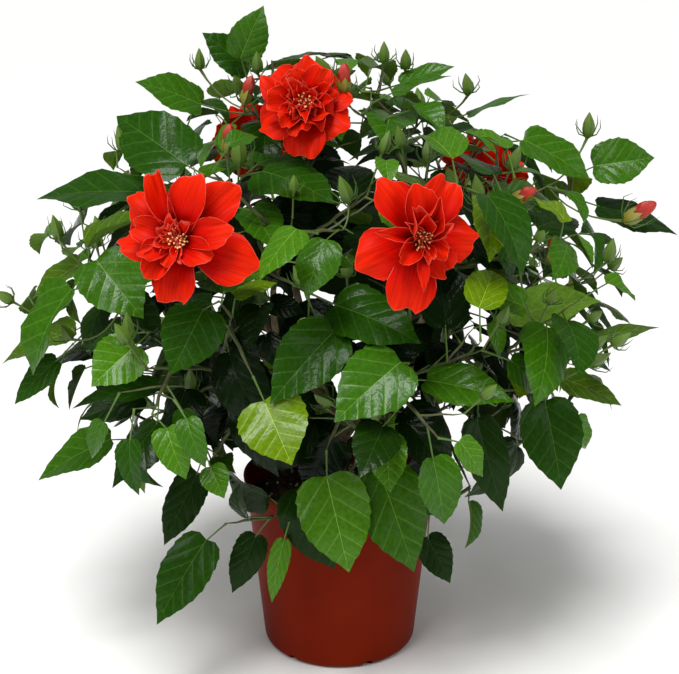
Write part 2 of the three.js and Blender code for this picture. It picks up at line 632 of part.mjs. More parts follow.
function potBody() {
  let body = solid(new THREE.LatheGeometry(potProfile(), POT.sides).rotateX(Math.PI / 2));
  for (let i = 0; i < POT.holes; i += 1) {
    const bearing = (POT.firstHole + (360 / POT.holes) * i) * DEG;
    const drill = new THREE.CylinderGeometry(POT.holeRadius, POT.holeRadius, 4 * POT.corner, 8);
    const outward = vec(Math.cos(bearing), Math.sin(bearing), -0.75).normalize();
    drill.applyQuaternion(new THREE.Quaternion().setFromUnitVectors(vec(0, 1, 0), outward));
    const spot = POT.baseRadius - POT.corner * 0.5;
    drill.translate(Math.cos(bearing) * spot, Math.sin(bearing) * spot, POT.corner * 0.45);
    body = body.subtract(solid(drill));
  }
  return body;
}

/** The mix fills the pot to a little under its rim, with a shallow mound. */
function soilGeometry() {
  const radiusAt = (z) => mix(POT.baseRadius, POT.rimRadius, z / POT.height) - POT.wall - GAP;
  const low = POT.floor + GAP;
  const mound = 6;
  const profile = [
    [0, low], [radiusAt(low) - POT.corner, low], [radiusAt(POT.corner + 3) - 1, POT.corner + 6],
    [radiusAt(SOIL_TOP - mound), SOIL_TOP - mound], [STEM.foot + 22, SOIL_TOP], [0, SOIL_TOP],
  ].map(([x, z]) => new THREE.Vector2(x, z));
  return new THREE.LatheGeometry(profile, POT.sides).rotateX(Math.PI / 2);
}

// ---------------------------------------------------------------- the plant
const finish = (color, roughness) => new THREE.MeshStandardMaterial({ color, roughness, metalness: 0 });
const potPlastic = () => finish('#8a2c19', 0.5);
const pottingMix = () => finish('#2b1d14', 0.95);
const bark = () => finish('#5f5236', 0.85);
const foliage = (level) => finish(['#1f4a15', '#25551a', '#2f661f', '#3f7a26'][level], 0.42);
const petals = () => finish('#e2291a', 0.6);

const shrub = new THREE.Group();
function addPiece(name, body, material) {
  const mesh = new THREE.Mesh(geometryOf(body), material);
  mesh.name = name;
  shrub.add(mesh);
}

addPiece('pot', potBody(), potPlastic());
addPiece('potting_mix', solid(soilGeometry()), pottingMix());
addPiece('stem', stemBody, bark());
limbs.forEach((limb) => addPiece(limb.name, limb.body, bark()));
boughs.forEach((bough) => addPiece(bough.name, bough.body, bark()));
bloomShoots.forEach(({ bloom, body }) => addPiece(`bloom_${bloom.name}`, body, petals()));
masses.forEach((mass) => addPiece(`leaves_${mass.name}`, massBody(mass), foliage(mass.level)));

export default shrub;
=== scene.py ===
"""A hibiscus shrub in its nursery pot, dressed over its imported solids. Metres, +Z up, front towards -Y."""

import json
import math

import bmesh
import bpy
import numpy as np
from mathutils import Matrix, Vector, noise

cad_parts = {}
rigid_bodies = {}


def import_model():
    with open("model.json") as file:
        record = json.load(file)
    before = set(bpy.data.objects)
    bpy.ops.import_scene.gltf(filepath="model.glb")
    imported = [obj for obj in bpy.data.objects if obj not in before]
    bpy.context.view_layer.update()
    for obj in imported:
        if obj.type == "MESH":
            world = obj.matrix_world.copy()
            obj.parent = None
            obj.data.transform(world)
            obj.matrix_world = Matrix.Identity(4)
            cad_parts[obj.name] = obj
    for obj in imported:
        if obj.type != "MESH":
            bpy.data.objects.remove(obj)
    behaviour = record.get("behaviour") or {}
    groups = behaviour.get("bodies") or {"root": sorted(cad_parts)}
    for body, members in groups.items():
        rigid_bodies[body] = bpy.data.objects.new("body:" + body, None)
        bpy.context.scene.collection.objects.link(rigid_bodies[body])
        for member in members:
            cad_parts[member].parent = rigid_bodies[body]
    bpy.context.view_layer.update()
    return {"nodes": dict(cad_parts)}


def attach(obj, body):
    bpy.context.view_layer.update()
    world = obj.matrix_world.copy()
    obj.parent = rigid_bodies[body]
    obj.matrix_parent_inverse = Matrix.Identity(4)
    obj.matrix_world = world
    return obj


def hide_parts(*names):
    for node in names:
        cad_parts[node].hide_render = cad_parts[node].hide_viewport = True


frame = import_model()

# ---------------------------------------------------------------------------------------------- pot
# The pot is injection moulded in brick-red polypropylene: one thin tapered wall with a rounded foot,
# a stiffening band under its rim and drain holes through the foot. It only stands on its underside.
POT_HEIGHT, RIM_RADIUS, BASE_RADIUS = 0.227, 0.119, 0.096
POT_WALL, POT_FLOOR, POT_CORNER = 0.0026, 0.003, 0.011
BAND, BAND_PROUD = 0.016, 0.0024
HOLES, HOLE_RADIUS, FIRST_HOLE = 6, 0.007, math.radians(-68)
POT_SIDES = 96


def linear(code):
    """An sRGB hex colour as linear red, green, blue and alpha."""
    parts = [int(code[i : i + 2], 16) / 255 for i in (1, 3, 5)]
    return [c / 12.92 if c <= 0.04045 else ((c + 0.055) / 1.055) ** 2.4 for c in parts] + [1.0]


def add_node(material, kind, values=None, links=None, **settings):
    """Add a node with its settings, its plain input values and the outputs that feed it."""
    made = material.node_tree.nodes.new(kind)
    for name, value in settings.items():
        setattr(made, name, value)
    for name, value in (values or {}).items():
        made.inputs[name].default_value = value
    for name, source in (links or {}).items():
        material.node_tree.links.new(source, made.inputs[name])
    return made


def new_material(name, hex_code, roughness, **surface):
    """A material with one plain surface shader, which later nodes may feed."""
    material = bpy.data.materials.new(name)
    material.use_nodes = True
    shader = material.node_tree.nodes["Principled BSDF"]
    shader.inputs["Base Color"].default_value = linear(hex_code)
    shader.inputs["Roughness"].default_value = roughness
    for socket, value in surface.items():
        shader.inputs[socket.replace("_", " ")].default_value = value
    return material, shader


def add_relief(material, shader, scale, strength, distance, stretch=(1, 1, 1)):
    """Feed the shader's normal with a fine noise, in object coordinates."""
    place = add_node(material, "ShaderNodeTexCoord").outputs["Object"]
    turned = add_node(material, "ShaderNodeMapping", {"Scale": stretch}, {"Vector": place}).outputs[0]
    grain = add_node(material, "ShaderNodeTexNoise", {"Scale": scale, "Detail": 3.0}, {"Vector": turned})
    bump = add_node(material, "ShaderNodeBump", {"Strength": strength, "Distance": distance},
                    {"Height": grain.outputs[0]})
    material.node_tree.links.new(bump.outputs["Normal"], shader.inputs["Normal"])
    return turned


def mottle(material, shader, vector, scale, codes):
    """Feed the shader's colour with two near tones, dealt out by a soft noise."""
    cloud = add_node(material, "ShaderNodeTexNoise", {"Scale": scale, "Detail": 4.0}, {"Vector": vector})
    ramp = add_node(material, "ShaderNodeValToRGB", links={"Fac": cloud.outputs[0]})
    for element, code, place in zip(ramp.color_ramp.elements, codes, (0.35, 0.65)):
        element.color = linear(code)
        element.position = place
    material.node_tree.links.new(ramp.outputs["Color"], shader.inputs["Base Color"])


def deselect():
    """Leave nothing selected, so that the next operator acts on what it is meant for."""
    bpy.ops.object.select_all(action="DESELECT")


def apply_modifier(piece, kind, **settings):
    """Add a modifier to a piece and apply it."""
    modifier = piece.modifiers.new(kind.title(), kind)
    for name, value in settings.items():
        setattr(modifier, name, value)
    bpy.context.view_layer.objects.active = piece
    bpy.ops.object.modifier_apply(modifier=modifier.name)


def wall_radius(height):
    """The outside radius of the pot's wall at a height."""
    return BASE_RADIUS + (RIM_RADIUS - BASE_RADIUS) * height / POT_HEIGHT


def rounded_corner(radius, middle_x, middle_z):
    """Ring radii and heights round the pot's foot, from underside to wall."""
    turns = [math.radians(90 * i / 6) for i in range(7)]
    return [(middle_x + radius * math.sin(t), middle_z - radius * math.cos(t)) for t in turns]


corner_x = wall_radius(POT_CORNER) - POT_CORNER
under_band = POT_HEIGHT - BAND
inner_corner = rounded_corner(POT_CORNER - POT_WALL, corner_x, POT_CORNER + POT_FLOOR - POT_WALL)
pot_rings = [
    *rounded_corner(POT_CORNER, corner_x, POT_CORNER),
    (wall_radius(under_band), under_band),
    (wall_radius(under_band) + BAND_PROUD, under_band + 0.002),
    (RIM_RADIUS + BAND_PROUD, POT_HEIGHT),
    (RIM_RADIUS - POT_WALL, POT_HEIGHT),
    *reversed(inner_corner),
]

deselect()
first_radius, first_height = pot_rings[0]
bpy.ops.mesh.primitive_circle_add(vertices=POT_SIDES, radius=first_radius, location=(0, 0, first_height))
pot = bpy.context.object
pot.name = "pot_shell"
bpy.ops.object.mode_set(mode="EDIT")
for (radius, height), (next_radius, next_height) in zip(pot_rings, pot_rings[1:]):
    bpy.ops.mesh.extrude_region_move(TRANSFORM_OT_translate={"value": (0, 0, next_height - height)})
    factor = next_radius / radius
    bpy.ops.transform.resize(value=(factor, factor, 1), center_override=(0, 0, next_height))
bpy.ops.mesh.select_all(action="SELECT")
bpy.ops.mesh.fill_holes(sides=0)
bpy.ops.mesh.normals_make_consistent(inside=False)
bpy.ops.object.mode_set(mode="OBJECT")
apply_modifier(pot, "BEVEL", width=0.0007, segments=2, limit_method="ANGLE", angle_limit=math.radians(35))

deselect()
for hole in range(HOLES):
    bearing = FIRST_HOLE + math.tau * hole / HOLES
    spot = BASE_RADIUS - POT_CORNER * 0.5
    outward = Vector((math.cos(bearing), math.sin(bearing), -0.75)).normalized()
    bpy.ops.mesh.primitive_cylinder_add(
        vertices=24, radius=HOLE_RADIUS, depth=0.044,
        location=(math.cos(bearing) * spot, math.sin(bearing) * spot, POT_CORNER * 0.45),
        rotation=outward.to_track_quat("Z", "Y").to_euler())
    drill = bpy.context.object
    apply_modifier(pot, "BOOLEAN", operation="DIFFERENCE", object=drill, solver="EXACT")
    bpy.data.objects.remove(drill)
deselect()
pot.select_set(True)
bpy.context.view_layer.objects.active = pot
bpy.ops.object.shade_smooth_by_angle(angle=math.radians(40))

# Moulded polypropylene has a satin skin: a faint orange-peel relief and a few dull, dusty patches.
polypropylene, shell = new_material("moulded polypropylene", "#6c1905", 0.42, Specular_IOR_Level=0.03)
peel = add_relief(polypropylene, shell, 900, 0.06, 0.0004)
mottle(polypropylene, shell, peel, 9, ("#671704", "#711c06"))
pot.data.materials.append(polypropylene)
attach(pot, "root")
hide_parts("pot")

# ------------------------------------------------------------------------------------- potting mix
# The mix is composted bark and peat, filled to a little under the rim and sunk by watering. Its top is
# crumbly and uneven, with bark chips and white grains of perlite lying in it.
MIX_TOP, MIX_MOUND, MIX_RINGS = POT_HEIGHT - 0.024, 0.006, 18
CHIPS, PERLITE_SHARE = 520, 0.22
PERLITE_SIZE = (0.0009, 0.0018)
BARK_SIZE = ((0.002, 0.0012, 0.0005), (0.006, 0.0032, 0.0011))  # the smallest and the largest chip
mix_radius = wall_radius(MIX_TOP) - POT_WALL - 0.0003
draw_mix = np.random.default_rng(7)


def mesh_piece(name, points, faces, materials, slots=None):
    """A new piece at the origin from its points, its faces and the slot of each face."""
    mesh = bpy.data.meshes.new(name)
    mesh.from_pydata([tuple(p) for p in points], [], faces)
    piece = bpy.data.objects.new(name, mesh)
    bpy.context.collection.objects.link(piece)
    for material in materials:
        mesh.materials.append(material)
    if slots is not None:
        mesh.polygons.foreach_set("material_index", np.asarray(slots, dtype=np.int32))
    return piece


def smooth(piece, degrees=None):
    """Shade a piece smooth, all over or up to an angle between its faces."""
    deselect()
    piece.select_set(True)
    bpy.context.view_layer.objects.active = piece
    if degrees is None:
        bpy.ops.object.shade_smooth()
    else:
        bpy.ops.object.shade_smooth_by_angle(angle=math.radians(degrees))


def mix_height(x, y):
    """The top of the mix: a shallow mound with crumbs."""
    out = math.hypot(x, y) / mix_radius
    crumbs = noise.noise(Vector((x, y, 0)) * 90) * 0.0016 + noise.noise(Vector((x, y, 3)) * 260) * 0.0009
    return MIX_TOP - 0.001 - MIX_MOUND * out * out + crumbs * min(1, 4 * out)


deselect()
bpy.ops.mesh.primitive_cone_add(
    vertices=72, radius1=mix_radius - 0.006, radius2=mix_radius, depth=0.05, location=(0, 0, MIX_TOP - 0.025))
mix = bpy.context.object
mix.name = "potting_mix_top"
bpy.ops.object.transform_apply(location=True)
bpy.ops.object.mode_set(mode="EDIT")
bpy.ops.mesh.select_all(action="DESELECT")
edit = bmesh.from_edit_mesh(mix.data)
for face in edit.faces:
    face.select_set(face.normal.z > 0.9)
bmesh.update_edit_mesh(mix.data)
for _ in range(MIX_RINGS):
    bpy.ops.mesh.inset(thickness=mix_radius / (MIX_RINGS + 1))
bpy.ops.object.mode_set(mode="OBJECT")
for vertex in mix.data.vertices:
    if vertex.co.z > MIX_TOP - 0.001:
        vertex.co.z = mix_height(vertex.co.x, vertex.co.y)
smooth(mix)


def chip(place, size, turn):
    """The corners of one flat chip, turned and laid on the mix."""
    x, y, z = size
    outline = ((-1, -0.7), (1, -1), (0.8, 1), (-0.9, 0.8))
    corners = np.array([(i * x, j * y, k * z) for k in (-1, 1) for i, j in outline])
    c, s, tip = math.cos(turn[0]), math.sin(turn[0]), turn[1]
    turned = np.stack([corners[:, 0] * c - corners[:, 1] * s, corners[:, 0] * s + corners[:, 1] * c,
                       corners[:, 2] + tip * corners[:, 0]], axis=1)
    return turned + place


chip_points, chip_faces, chip_slots = [], [], []
BOX_FACES = [(3, 2, 1, 0), (4, 5, 6, 7), (0, 1, 5, 4), (1, 2, 6, 5), (2, 3, 7, 6), (3, 0, 4, 7)]
for _ in range(CHIPS):
    out, bearing = mix_radius * 0.97 * math.sqrt(draw_mix.random()), draw_mix.random() * math.tau
    x, y = out * math.cos(bearing), out * math.sin(bearing)
    grain = draw_mix.random() < PERLITE_SHARE
    size = draw_mix.uniform(*PERLITE_SIZE, 3) if grain else draw_mix.uniform(*BARK_SIZE)
    start = len(chip_points) * 8
    turn = draw_mix.random() * 6.3, draw_mix.uniform(-0.3, 0.3)
    chip_points.append(chip((x, y, mix_height(x, y) + 0.0004), size, turn))
    chip_faces += [tuple(start + i for i in face) for face in BOX_FACES]
    chip_slots += [1 if grain else 0] * 6

# Damp peat and bark: near black, matt and rough. Perlite is puffed glass, off-white and chalky.
compost, earth = new_material("composted bark and peat", "#2a1b12", 0.95)
crumb = add_relief(compost, earth, 420, 0.9, 0.0012)
mottle(compost, earth, crumb, 160, ("#1c120b", "#3a281a"))
bark_chip, chip_shader = new_material("bark chips", "#4a3120", 0.9)
flakes = add_relief(bark_chip, chip_shader, 700, 0.5, 0.0006)
mottle(bark_chip, chip_shader, flakes, 120, ("#33210f", "#5b402a"))
perlite, _ = new_material("perlite", "#cfcabd", 0.85)
mix.data.materials.append(compost)
chips = mesh_piece("mix_chips", np.concatenate(chip_points), chip_faces, [bark_chip, perlite], chip_slots)
for piece in (mix, chips):
    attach(piece, "root")
    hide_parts("potting_mix")

# --------------------------------------------------------------------------- stem, limbs and boughs
# One short woody stem forks into four limbs just over the mix, and boughs leave them for each mass of
# foliage. The bark is thin and grey-brown, with shallow ridges that run along the wood and small warts.
GAP = 0.0003
STEM = {"foot": 0.015, "neck": 0.0105, "flare": 0.026, "tip": 0.009, "height": 0.092, "lean": (0.007, -0.004),
        "upright": 0.12}
LIMB = {"count": 4, "first": -50, "root": 0.0068, "tip": 0.0036, "belly": 0.44, "spread": 38.5}
BOUGH = {"root": 0.0046, "tip": 0.0034, "belly": 0.4}
FORKS = (0.2, 0.42, 0.68, 0.8)  # how far along its limb a bough of each level leaves it
CROWN = {"wide": 0.412, "deep": 0.378, "belt": 0.429, "top": 0.782, "hem": 0.152, "front_hem": 0.212,
         "dome": 2.2, "skirt": 2.3, "bare": 0.3}
# Spots where shoots stand proud of the crown: their middle and radius.
PROUD = [((-0.1, 0.01, 0.746), 0.064), ((0.352, -0.02, 0.56), 0.062), ((-0.205, -0.19, 0.19), 0.072),
         ((0.158, -0.14, 0.196), 0.052)]
# The rings of foliage: name, masses, bearing of the first, radius and height.
RINGS = [("low", 5, -88, 0.256, 0.272), ("middle", 7, -78, 0.274, 0.434), ("upper", 5, -104, 0.208, 0.6),
         ("top", 2, 172, 0.076, 0.704)]
LIMB_MASSES = ("upper_2", "top_2", "top_1", "upper_5")
SEED = 101
UP = np.array((0.0, 0.0, 1.0))
ASIDE = np.array((0.31, 0.87, -0.38))


def unit(v):
    """A vector, or each of many, at a length of one."""
    return v / np.linalg.norm(v, axis=-1, keepdims=True)


def square_to(axis, v):
    """The part of a vector that is square to an axis, as a unit vector."""
    return unit(v - axis * np.dot(v, axis))


def mixed(a, b, t):
    """What lies between two values, at a share of the way."""
    return a + (b - a) * t


def crown_reach(p):
    """How far out points lie in the crown: 1 on its surface. Its hem is higher in front, over the pot."""
    x, y, z = p[..., 0], p[..., 1], p[..., 2]
    front = np.maximum(0, -y / np.maximum(np.hypot(x, y), 1e-9)) ** 4
    low = z < CROWN["belt"]
    power = np.where(low, CROWN["skirt"], CROWN["dome"])
    end = np.where(low, mixed(CROWN["hem"], CROWN["front_hem"], front), CROWN["top"])
    rise = np.maximum(0, (z - CROWN["belt"]) / (end - CROWN["belt"]))
    return (np.hypot(x / CROWN["wide"], y / CROWN["deep"]) ** power + rise**power) ** (1 / power)


masses = []
for level, (ring, count, first, radius, height) in enumerate(RINGS):
    for i in range(count):
        bearing = math.radians(first + 360 / count * i)
        squash = CROWN["deep"] / CROWN["wide"]
        middle = np.array((math.cos(bearing) * radius, math.sin(bearing) * radius * squash, height))
        masses.append({"name": f"{ring}_{i + 1}", "ring": ring, "level": level, "bearing": bearing,
                       "middle": middle, "seed": SEED + 37 * level + 11 * i, "index": len(masses)})
middles = np.array([mass["middle"] for mass in masses])


def in_cell(p, mass, margin):
    """Whether points lie in a mass's own cell, with a margin to each neighbouring cell."""
    own = mass["index"]
    others = np.delete(middles, own, axis=0)
    apart = np.linalg.norm(others - middles[own], axis=1)
    to_others = ((p[..., None, :] - others) ** 2).sum(-1)
    to_own = ((p - middles[own]) ** 2).sum(-1)[..., None]
    return ((to_others - to_own) / (2 * apart) > margin).all(-1)


def bend_through(from_point, heading, to_point, belly):
    """A curve of three points that leaves one along a heading and comes to the other."""
    far = np.linalg.norm(to_point - from_point)
    return from_point, from_point + heading * far * belly, to_point


def on_curve(curve, t):
    """The point of a three-point curve at a share of it."""
    a, b, c = curve
    return (1 - t) ** 2 * a + 2 * (1 - t) * t * b + t * t * c


def curve_heading(curve, t):
    """The heading of a three-point curve at a share of it."""
    a, b, c = curve
    return unit(2 * (1 - t) * (b - a) + 2 * t * (c - b))


def entry(curve, mass):
    """Where a curve enters a mass's cell for good."""
    t = 1.0
    while t > 0.3:
        p = on_curve(curve, t - 0.02)
        if not (in_cell(p, mass, 0.009) and crown_reach(p) > CROWN["bare"]):
            break
        t -= 0.02
    return t


def run_to(mass, from_point, heading, size):
    """A limb or bough that runs from a point along a heading to where it enters its mass."""
    curve = bend_through(from_point, unit(heading), mass["middle"], size["belly"])
    share = entry(curve, mass)
    mass["feed"] = {"curve": curve, "share": share, "radius": size["tip"]}
    return {"bearing": mass["bearing"], "curve": curve, "share": share, "size": size}


stem_foot = np.array((0, 0, MIX_TOP + GAP))
stem_points = []
for t in (0, STEM["upright"], 0.28, 0.62, 1):
    bend = max(0, t - STEM["upright"]) ** 1.5
    stem_points.append(stem_foot + (STEM["lean"][0] * bend, STEM["lean"][1] * bend, STEM["height"] * t))


def stem_radius(t):
    """The stem's radius at a share of its height: it flares at its foot."""
    flare = max(0, 1 - t * STEM["height"] / STEM["flare"]) ** 2
    return mixed(STEM["neck"], STEM["tip"], t) + (STEM["foot"] - STEM["neck"]) * flare


limbs, boughs = [], []
for i, name in enumerate(LIMB_MASSES):
    mass = next(mass for mass in masses if mass["name"] == name)
    bearing = math.radians(LIMB["first"] + 360 / LIMB["count"] * i)
    tilt = math.radians(LIMB["spread"])
    heading = np.array((math.cos(bearing) * math.sin(tilt), math.sin(bearing) * math.sin(tilt), math.cos(tilt)))
    start = mixed(stem_points[3], stem_points[4], 0.35 + 0.5 * (i % 2))
    limbs.append({**run_to(mass, start, heading, LIMB), "bearing": bearing})
for mass in masses:
    if "feed" in mass:
        continue
    turns = [mass["bearing"] - limb["bearing"] for limb in limbs]
    apart = [abs(math.atan2(math.sin(turn), math.cos(turn))) for turn in turns]
    limb = limbs[apart.index(min(apart))]
    fork = limb["share"] * (FORKS[mass["level"]] + 0.05 * (mass["seed"] % 3 - 1))
    start = on_curve(limb["curve"], fork)
    heading = curve_heading(limb["curve"], fork) * 0.55 + unit(mass["middle"] - start)
    boughs.append(run_to(mass, start, heading, BOUGH))


def tube(points, radii, sides):
    """The points and faces of a round closed tube along a line, with a radius at each of its points."""
    points = np.asarray(points, dtype=float)
    along = unit(np.gradient(points, axis=0))
    across = square_to(along[0], ASIDE)
    rings = []
    turns = np.arange(sides) * math.tau / sides
    for p, heading, radius in zip(points, along, radii):
        across = square_to(heading, across)
        other = np.cross(heading, across)
        rings.append(p + radius * (np.cos(turns)[:, None] * across + np.sin(turns)[:, None] * other))
    faces = []
    for ring in range(len(points) - 1):
        for side in range(sides):
            a, b = ring * sides + side, ring * sides + (side + 1) % sides
            faces.append((a, b, b + sides, a + sides))
    faces.append(tuple(range(sides - 1, -1, -1)))
    faces.append(tuple((len(points) - 1) * sides + side for side in range(sides)))
    return np.concatenate(rings), faces


def join(parts):
    """Many points and faces as one."""
    points, faces, start = [], [], 0
    for part_points, part_faces in parts:
        points.append(part_points)
        faces += [tuple(i + start for i in face) for face in part_faces]
        start += len(part_points)
    return np.concatenate(points), faces


def along_polyline(points, shares):
    """Points at shares of a broken line's length."""
    points = np.asarray(points)
    steps = np.concatenate([[0], np.cumsum(np.linalg.norm(np.diff(points, axis=0), axis=1))])
    return np.stack([np.interp(np.asarray(shares) * steps[-1], steps, points[:, k]) for k in range(3)], axis=1)


wood = []
shares = np.linspace(0, 1, 50)
stem_line = along_polyline(stem_points, shares)
wood.append(tube(stem_line, [stem_radius(t) * (1 - 0.35 * max(0, t - 0.85) / 0.15) for t in shares], 24))
for limb in limbs + boughs:
    shares = np.linspace(0, 1, 90 if limb["size"] is LIMB else 30)
    line = np.array([on_curve(limb["curve"], limb["share"] * t) for t in shares])
    wood.append(tube(line, mixed(limb["size"]["root"], limb["size"]["tip"], shares), 12))
bark_piece = mesh_piece("woody_frame", *join(wood), [])
smooth(bark_piece)
for vertex in bark_piece.data.vertices:
    p = vertex.co
    ridges = noise.noise(Vector((p.x * 420, p.y * 420, p.z * 70)))
    warts = max(0, noise.noise(p * 150 + Vector((9, 2, 5))) - 0.35)
    vertex.co = p + vertex.normal * (ridges * 0.0005 + warts * 0.0016)

# Young bark is thin and corky: matt, grey-brown over green, with fine cracks along the wood.
bark, bark_shader = new_material("thin corky bark", "#6a5a3c", 0.82)
grooves = add_relief(bark, bark_shader, 500, 0.5, 0.0006, stretch=(1, 1, 0.25))
mottle(bark, bark_shader, grooves, 120, ("#4f4028", "#85775a"))
bark_piece.data.materials.append(bark)
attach(bark_piece, "root")
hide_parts("stem", *(n for n in frame["nodes"] if n.startswith(("limb_", "bough_"))))

# ------------------------------------------------------------------------------------ flower shoots
# Five double blooms stand off the crown on long bare stalks: three to the front and two behind. Leaves
# turn out of their light, so each bloom keeps a clear space of its own and in front of it.
BLOOMS = [  # name, middle, face, width
    ("left", (-0.155, -0.278, 0.605), (-0.22, -0.93, 0.3), 0.146),
    ("right", (0.078, -0.287, 0.598), (0.12, -0.95, 0.26), 0.134),
    ("top", (-0.038, -0.126, 0.713), (-0.05, -0.86, 0.5), 0.112),
    ("rear_left", (-0.118, 0.262, 0.604), (-0.3, 0.88, 0.36), 0.132),
    ("rear_right", (0.196, 0.214, 0.566), (0.55, 0.78, 0.3), 0.138),
]
STALK = {"radius": 0.0024, "calyx": 0.03, "depth": 0.13, "take_off": 0.74, "window": 0.12}


def reaches(limb):
    """The far end of a limb or bough."""
    return on_curve(limb["curve"], limb["share"])


balls, shoots = [], []
for name, middle, face, width in BLOOMS:
    middle, face = np.array(middle), unit(np.array(face))
    balls += [(middle + face * STALK["window"] * step, width * share)
              for step, share in ((0, 0.52), (0.5, 0.46), (1, 0.42))]
    back = middle - face * (width * STALK["depth"] + STALK["calyx"])
    host = min(boughs + limbs, key=lambda limb: np.linalg.norm(reaches(limb) - back))
    start = on_curve(host["curve"], host["share"] * STALK["take_off"])
    bend = mixed(start, back, 0.55) - UP * 0.012 - face * 0.014
    shoots.append({"name": name, "middle": middle, "face": face, "width": width, "curve": (start, bend, back)})

# ------------------------------------------------------------------------------------------- blooms
# A double bloom has five to seven broad outer petals, crumpled inner ones that crowd its heart, and loose
# gold anthers. The petals are thin, satin and wet-looking in the folds, with radial veins; the paler line along
# each rim is a painted highlight.
# Each petal: bearing, reach, breadth, foot, rise and end slope in degrees, cup, ruffle, point (mm first).
PETALS_LEFT = [
    (48, 80, 50, -5, 32, -18, 0.1, 3.0, 0), (-17, 84, 56, -6, 28, -26, -0.1, 2.5, 0),
    (266, 66, 48, -6, 30, -22, 0, 2.8, 0), (184, 64, 46, -4, 32, -20, 0.15, 4.5, 0.1),
    (138, 65, 46, -3, 38, -12, 0.1, 4.5, 0), (113, 71, 30, -1, 45, 8, 0.9, 3.0, 0),
    (72, 69, 44, 3, 52, -8, 0.3, 1.5, 0), (12, 61, 38, 4, 48, -12, 0.4, 2.0, 0),
    (163, 48, 34, 5, 48, -6, 0.4, 2.5, 0.1), (-28, 43, 36, 6, 48, 2, 0.4, 2.5, 0),
    (238, 49, 34, 4, 44, 0, 0.45, 4.5, 0), (212, 39, 28, 7, 52, 12, 0.6, 4.0, 0),
    (100, 25, 18, 8, 60, 25, 0.8, 2.5, 0), (148, 21, 17, 9, 60, 30, 0.8, 2.5, 0),
    (195, 23, 15, 9, 60, 25, 0.7, 2.0, 0), (285, 24, 16, 8, 58, 20, 0.8, 2.5, 0),
    (50, 24, 15, 9, 62, 30, 0.8, 2.0, 0), (125, 17, 15, 10, 66, 40, 0.9, 3.0, 0),
    (172, 16, 13, 11, 66, 40, 0.9, 3.0, 0), (210, 18, 14, 10, 64, 30, 0.8, 3.0, 0),
    (85, 18, 13, 10, 66, 40, 0.9, 2.5, 0), (255, 30, 22, 8, 56, 15, 0.7, 4.0, 0),
]
PETALS_RIGHT = [
    (121, 71, 44, -5, 34, -16, 0.1, 4.0, 0), (60, 67, 46, -5, 36, -10, 0.1, 3.5, 0),
    (-2, 56, 50, -4, 32, -22, 0, 3.5, 0), (-52, 47, 40, -3, 34, -16, 0.2, 4.5, 0.1),
    (258, 77, 54, -6, 28, -26, 0, 2.5, 0), (198, 69, 56, -5, 28, -24, -0.05, 3.0, 0),
    (95, 53, 38, 3, 52, 5, 0.4, 3.5, 0), (172, 46, 22, 5, 50, 4, 1.2, 1.5, 0.5),
    (75, 31, 34, 7, 64, 58, 0.8, 4.5, 0), (112, 27, 32, 8, 68, 58, 0.9, 4.5, 0),
    (222, 33, 28, 6, 54, 12, 0.7, 3.5, 0), (267, 51, 18, 7, 40, -12, 0.6, 1.0, 0.7),
    (-40, 31, 26, 7, 54, 18, 0.8, 4.0, 0), (30, 28, 24, 8, 60, 40, 0.8, 4.0, 0),
    (2, 24, 11, 10, 58, -5, 0.5, 1.0, 0), (140, 20, 15, 10, 66, 45, 0.9, 3.0, 0),
    (-70, 26, 18, 8, 58, 25, 0.8, 3.5, 0),
]
HEART = {"left": (-0.011, -0.005), "right": (0.006, 0.006)}  # a heart lies a little off its bloom's middle
ROWS = (0, 0.08, 0.18, 0.3, 0.42, 0.54, 0.66, 0.77, 0.87, 0.94, 0.985, 1)
COLUMNS = (-1, -0.965, -0.82, -0.64, -0.48, -0.32, -0.16, 0, 0.16, 0.32, 0.48, 0.64, 0.82, 0.965, 1)
PETAL = {"foot": 0.005, "thick": 0.0005, "claw": 0.3}
STAMENS = {"count": 54, "lean": (0.15, 1.15), "root": (0.004, 0.014), "length": (0.009, 0.016),
           "anther": (0.0011, 0.0015)}
CUP = ((0, 0.0024), (0.003, 0.0056), (0.012, 0.0082), (0.024, 0.0088), (0.031, 0.0074))  # height, radius
# The ruff under a bloom, its bracts and then its sepals: how many, of how many round the cup, the first one's
# bearing, length, breadth and how far the tip flares.
RUFF = [(7, 12, 0, 0.017, 0.0011, 0.016), (5, 5, 0.3, 0.031, 0.0042, 0.0115)]


def seeded(seed):
    """A seeded stream of numbers from 0 to 1."""
    state = seed

    def draw():
        nonlocal state
        state = (state + 0x6D2B79F5) & 0xFFFFFFFF
        t = (state ^ (state >> 15)) * (1 | state) & 0xFFFFFFFF
        t = (t + (t ^ (t >> 7)) * (61 | t) & 0xFFFFFFFF) ^ t
        return ((t ^ (t >> 14)) & 0xFFFFFFFF) / 4294967296

    return draw


# A full bloom's rows of petals: how many, whether they follow its first bearing, turn, play in degrees, reach
# and breadth as shares of the bloom's, foot, rise, end slope, cup and ruffle.
WHORLS = [
    (6, 1, 0, 16, (0.9, 1.02), (0.86, 1.02), -4, 34, (-28, -8), (-0.1, 0.25), (2.5, 4)),
    (9, 1, 30, 20, (0.55, 0.8), (0.5, 0.72), 4, 54, (-5, 25), (0.3, 0.7), (3, 5)),
    (12, 0, 0, 20, (0.28, 0.46), (0.26, 0.42), 8, 64, (25, 60), (0.6, 1), (2.5, 4.5)),
]


def full_petals(draw, reach):
    """The petals of a bloom that is full all round: a broad outer row, an inner row and a crumpled heart."""
    petals, first = [], 360 * draw()
    for count, follows, turn, play, far, broad, foot, rise, end, cup, ruffle in WHORLS:
        for i in range(count):
            petals.append((
                first * follows + turn + 360 / count * i + play * draw(), reach * mixed(*far, draw()),
                reach * mixed(*broad, draw()), foot, rise, mixed(*end, draw()), mixed(*cup, draw()),
                mixed(*ruffle, draw()), 0))
    return petals


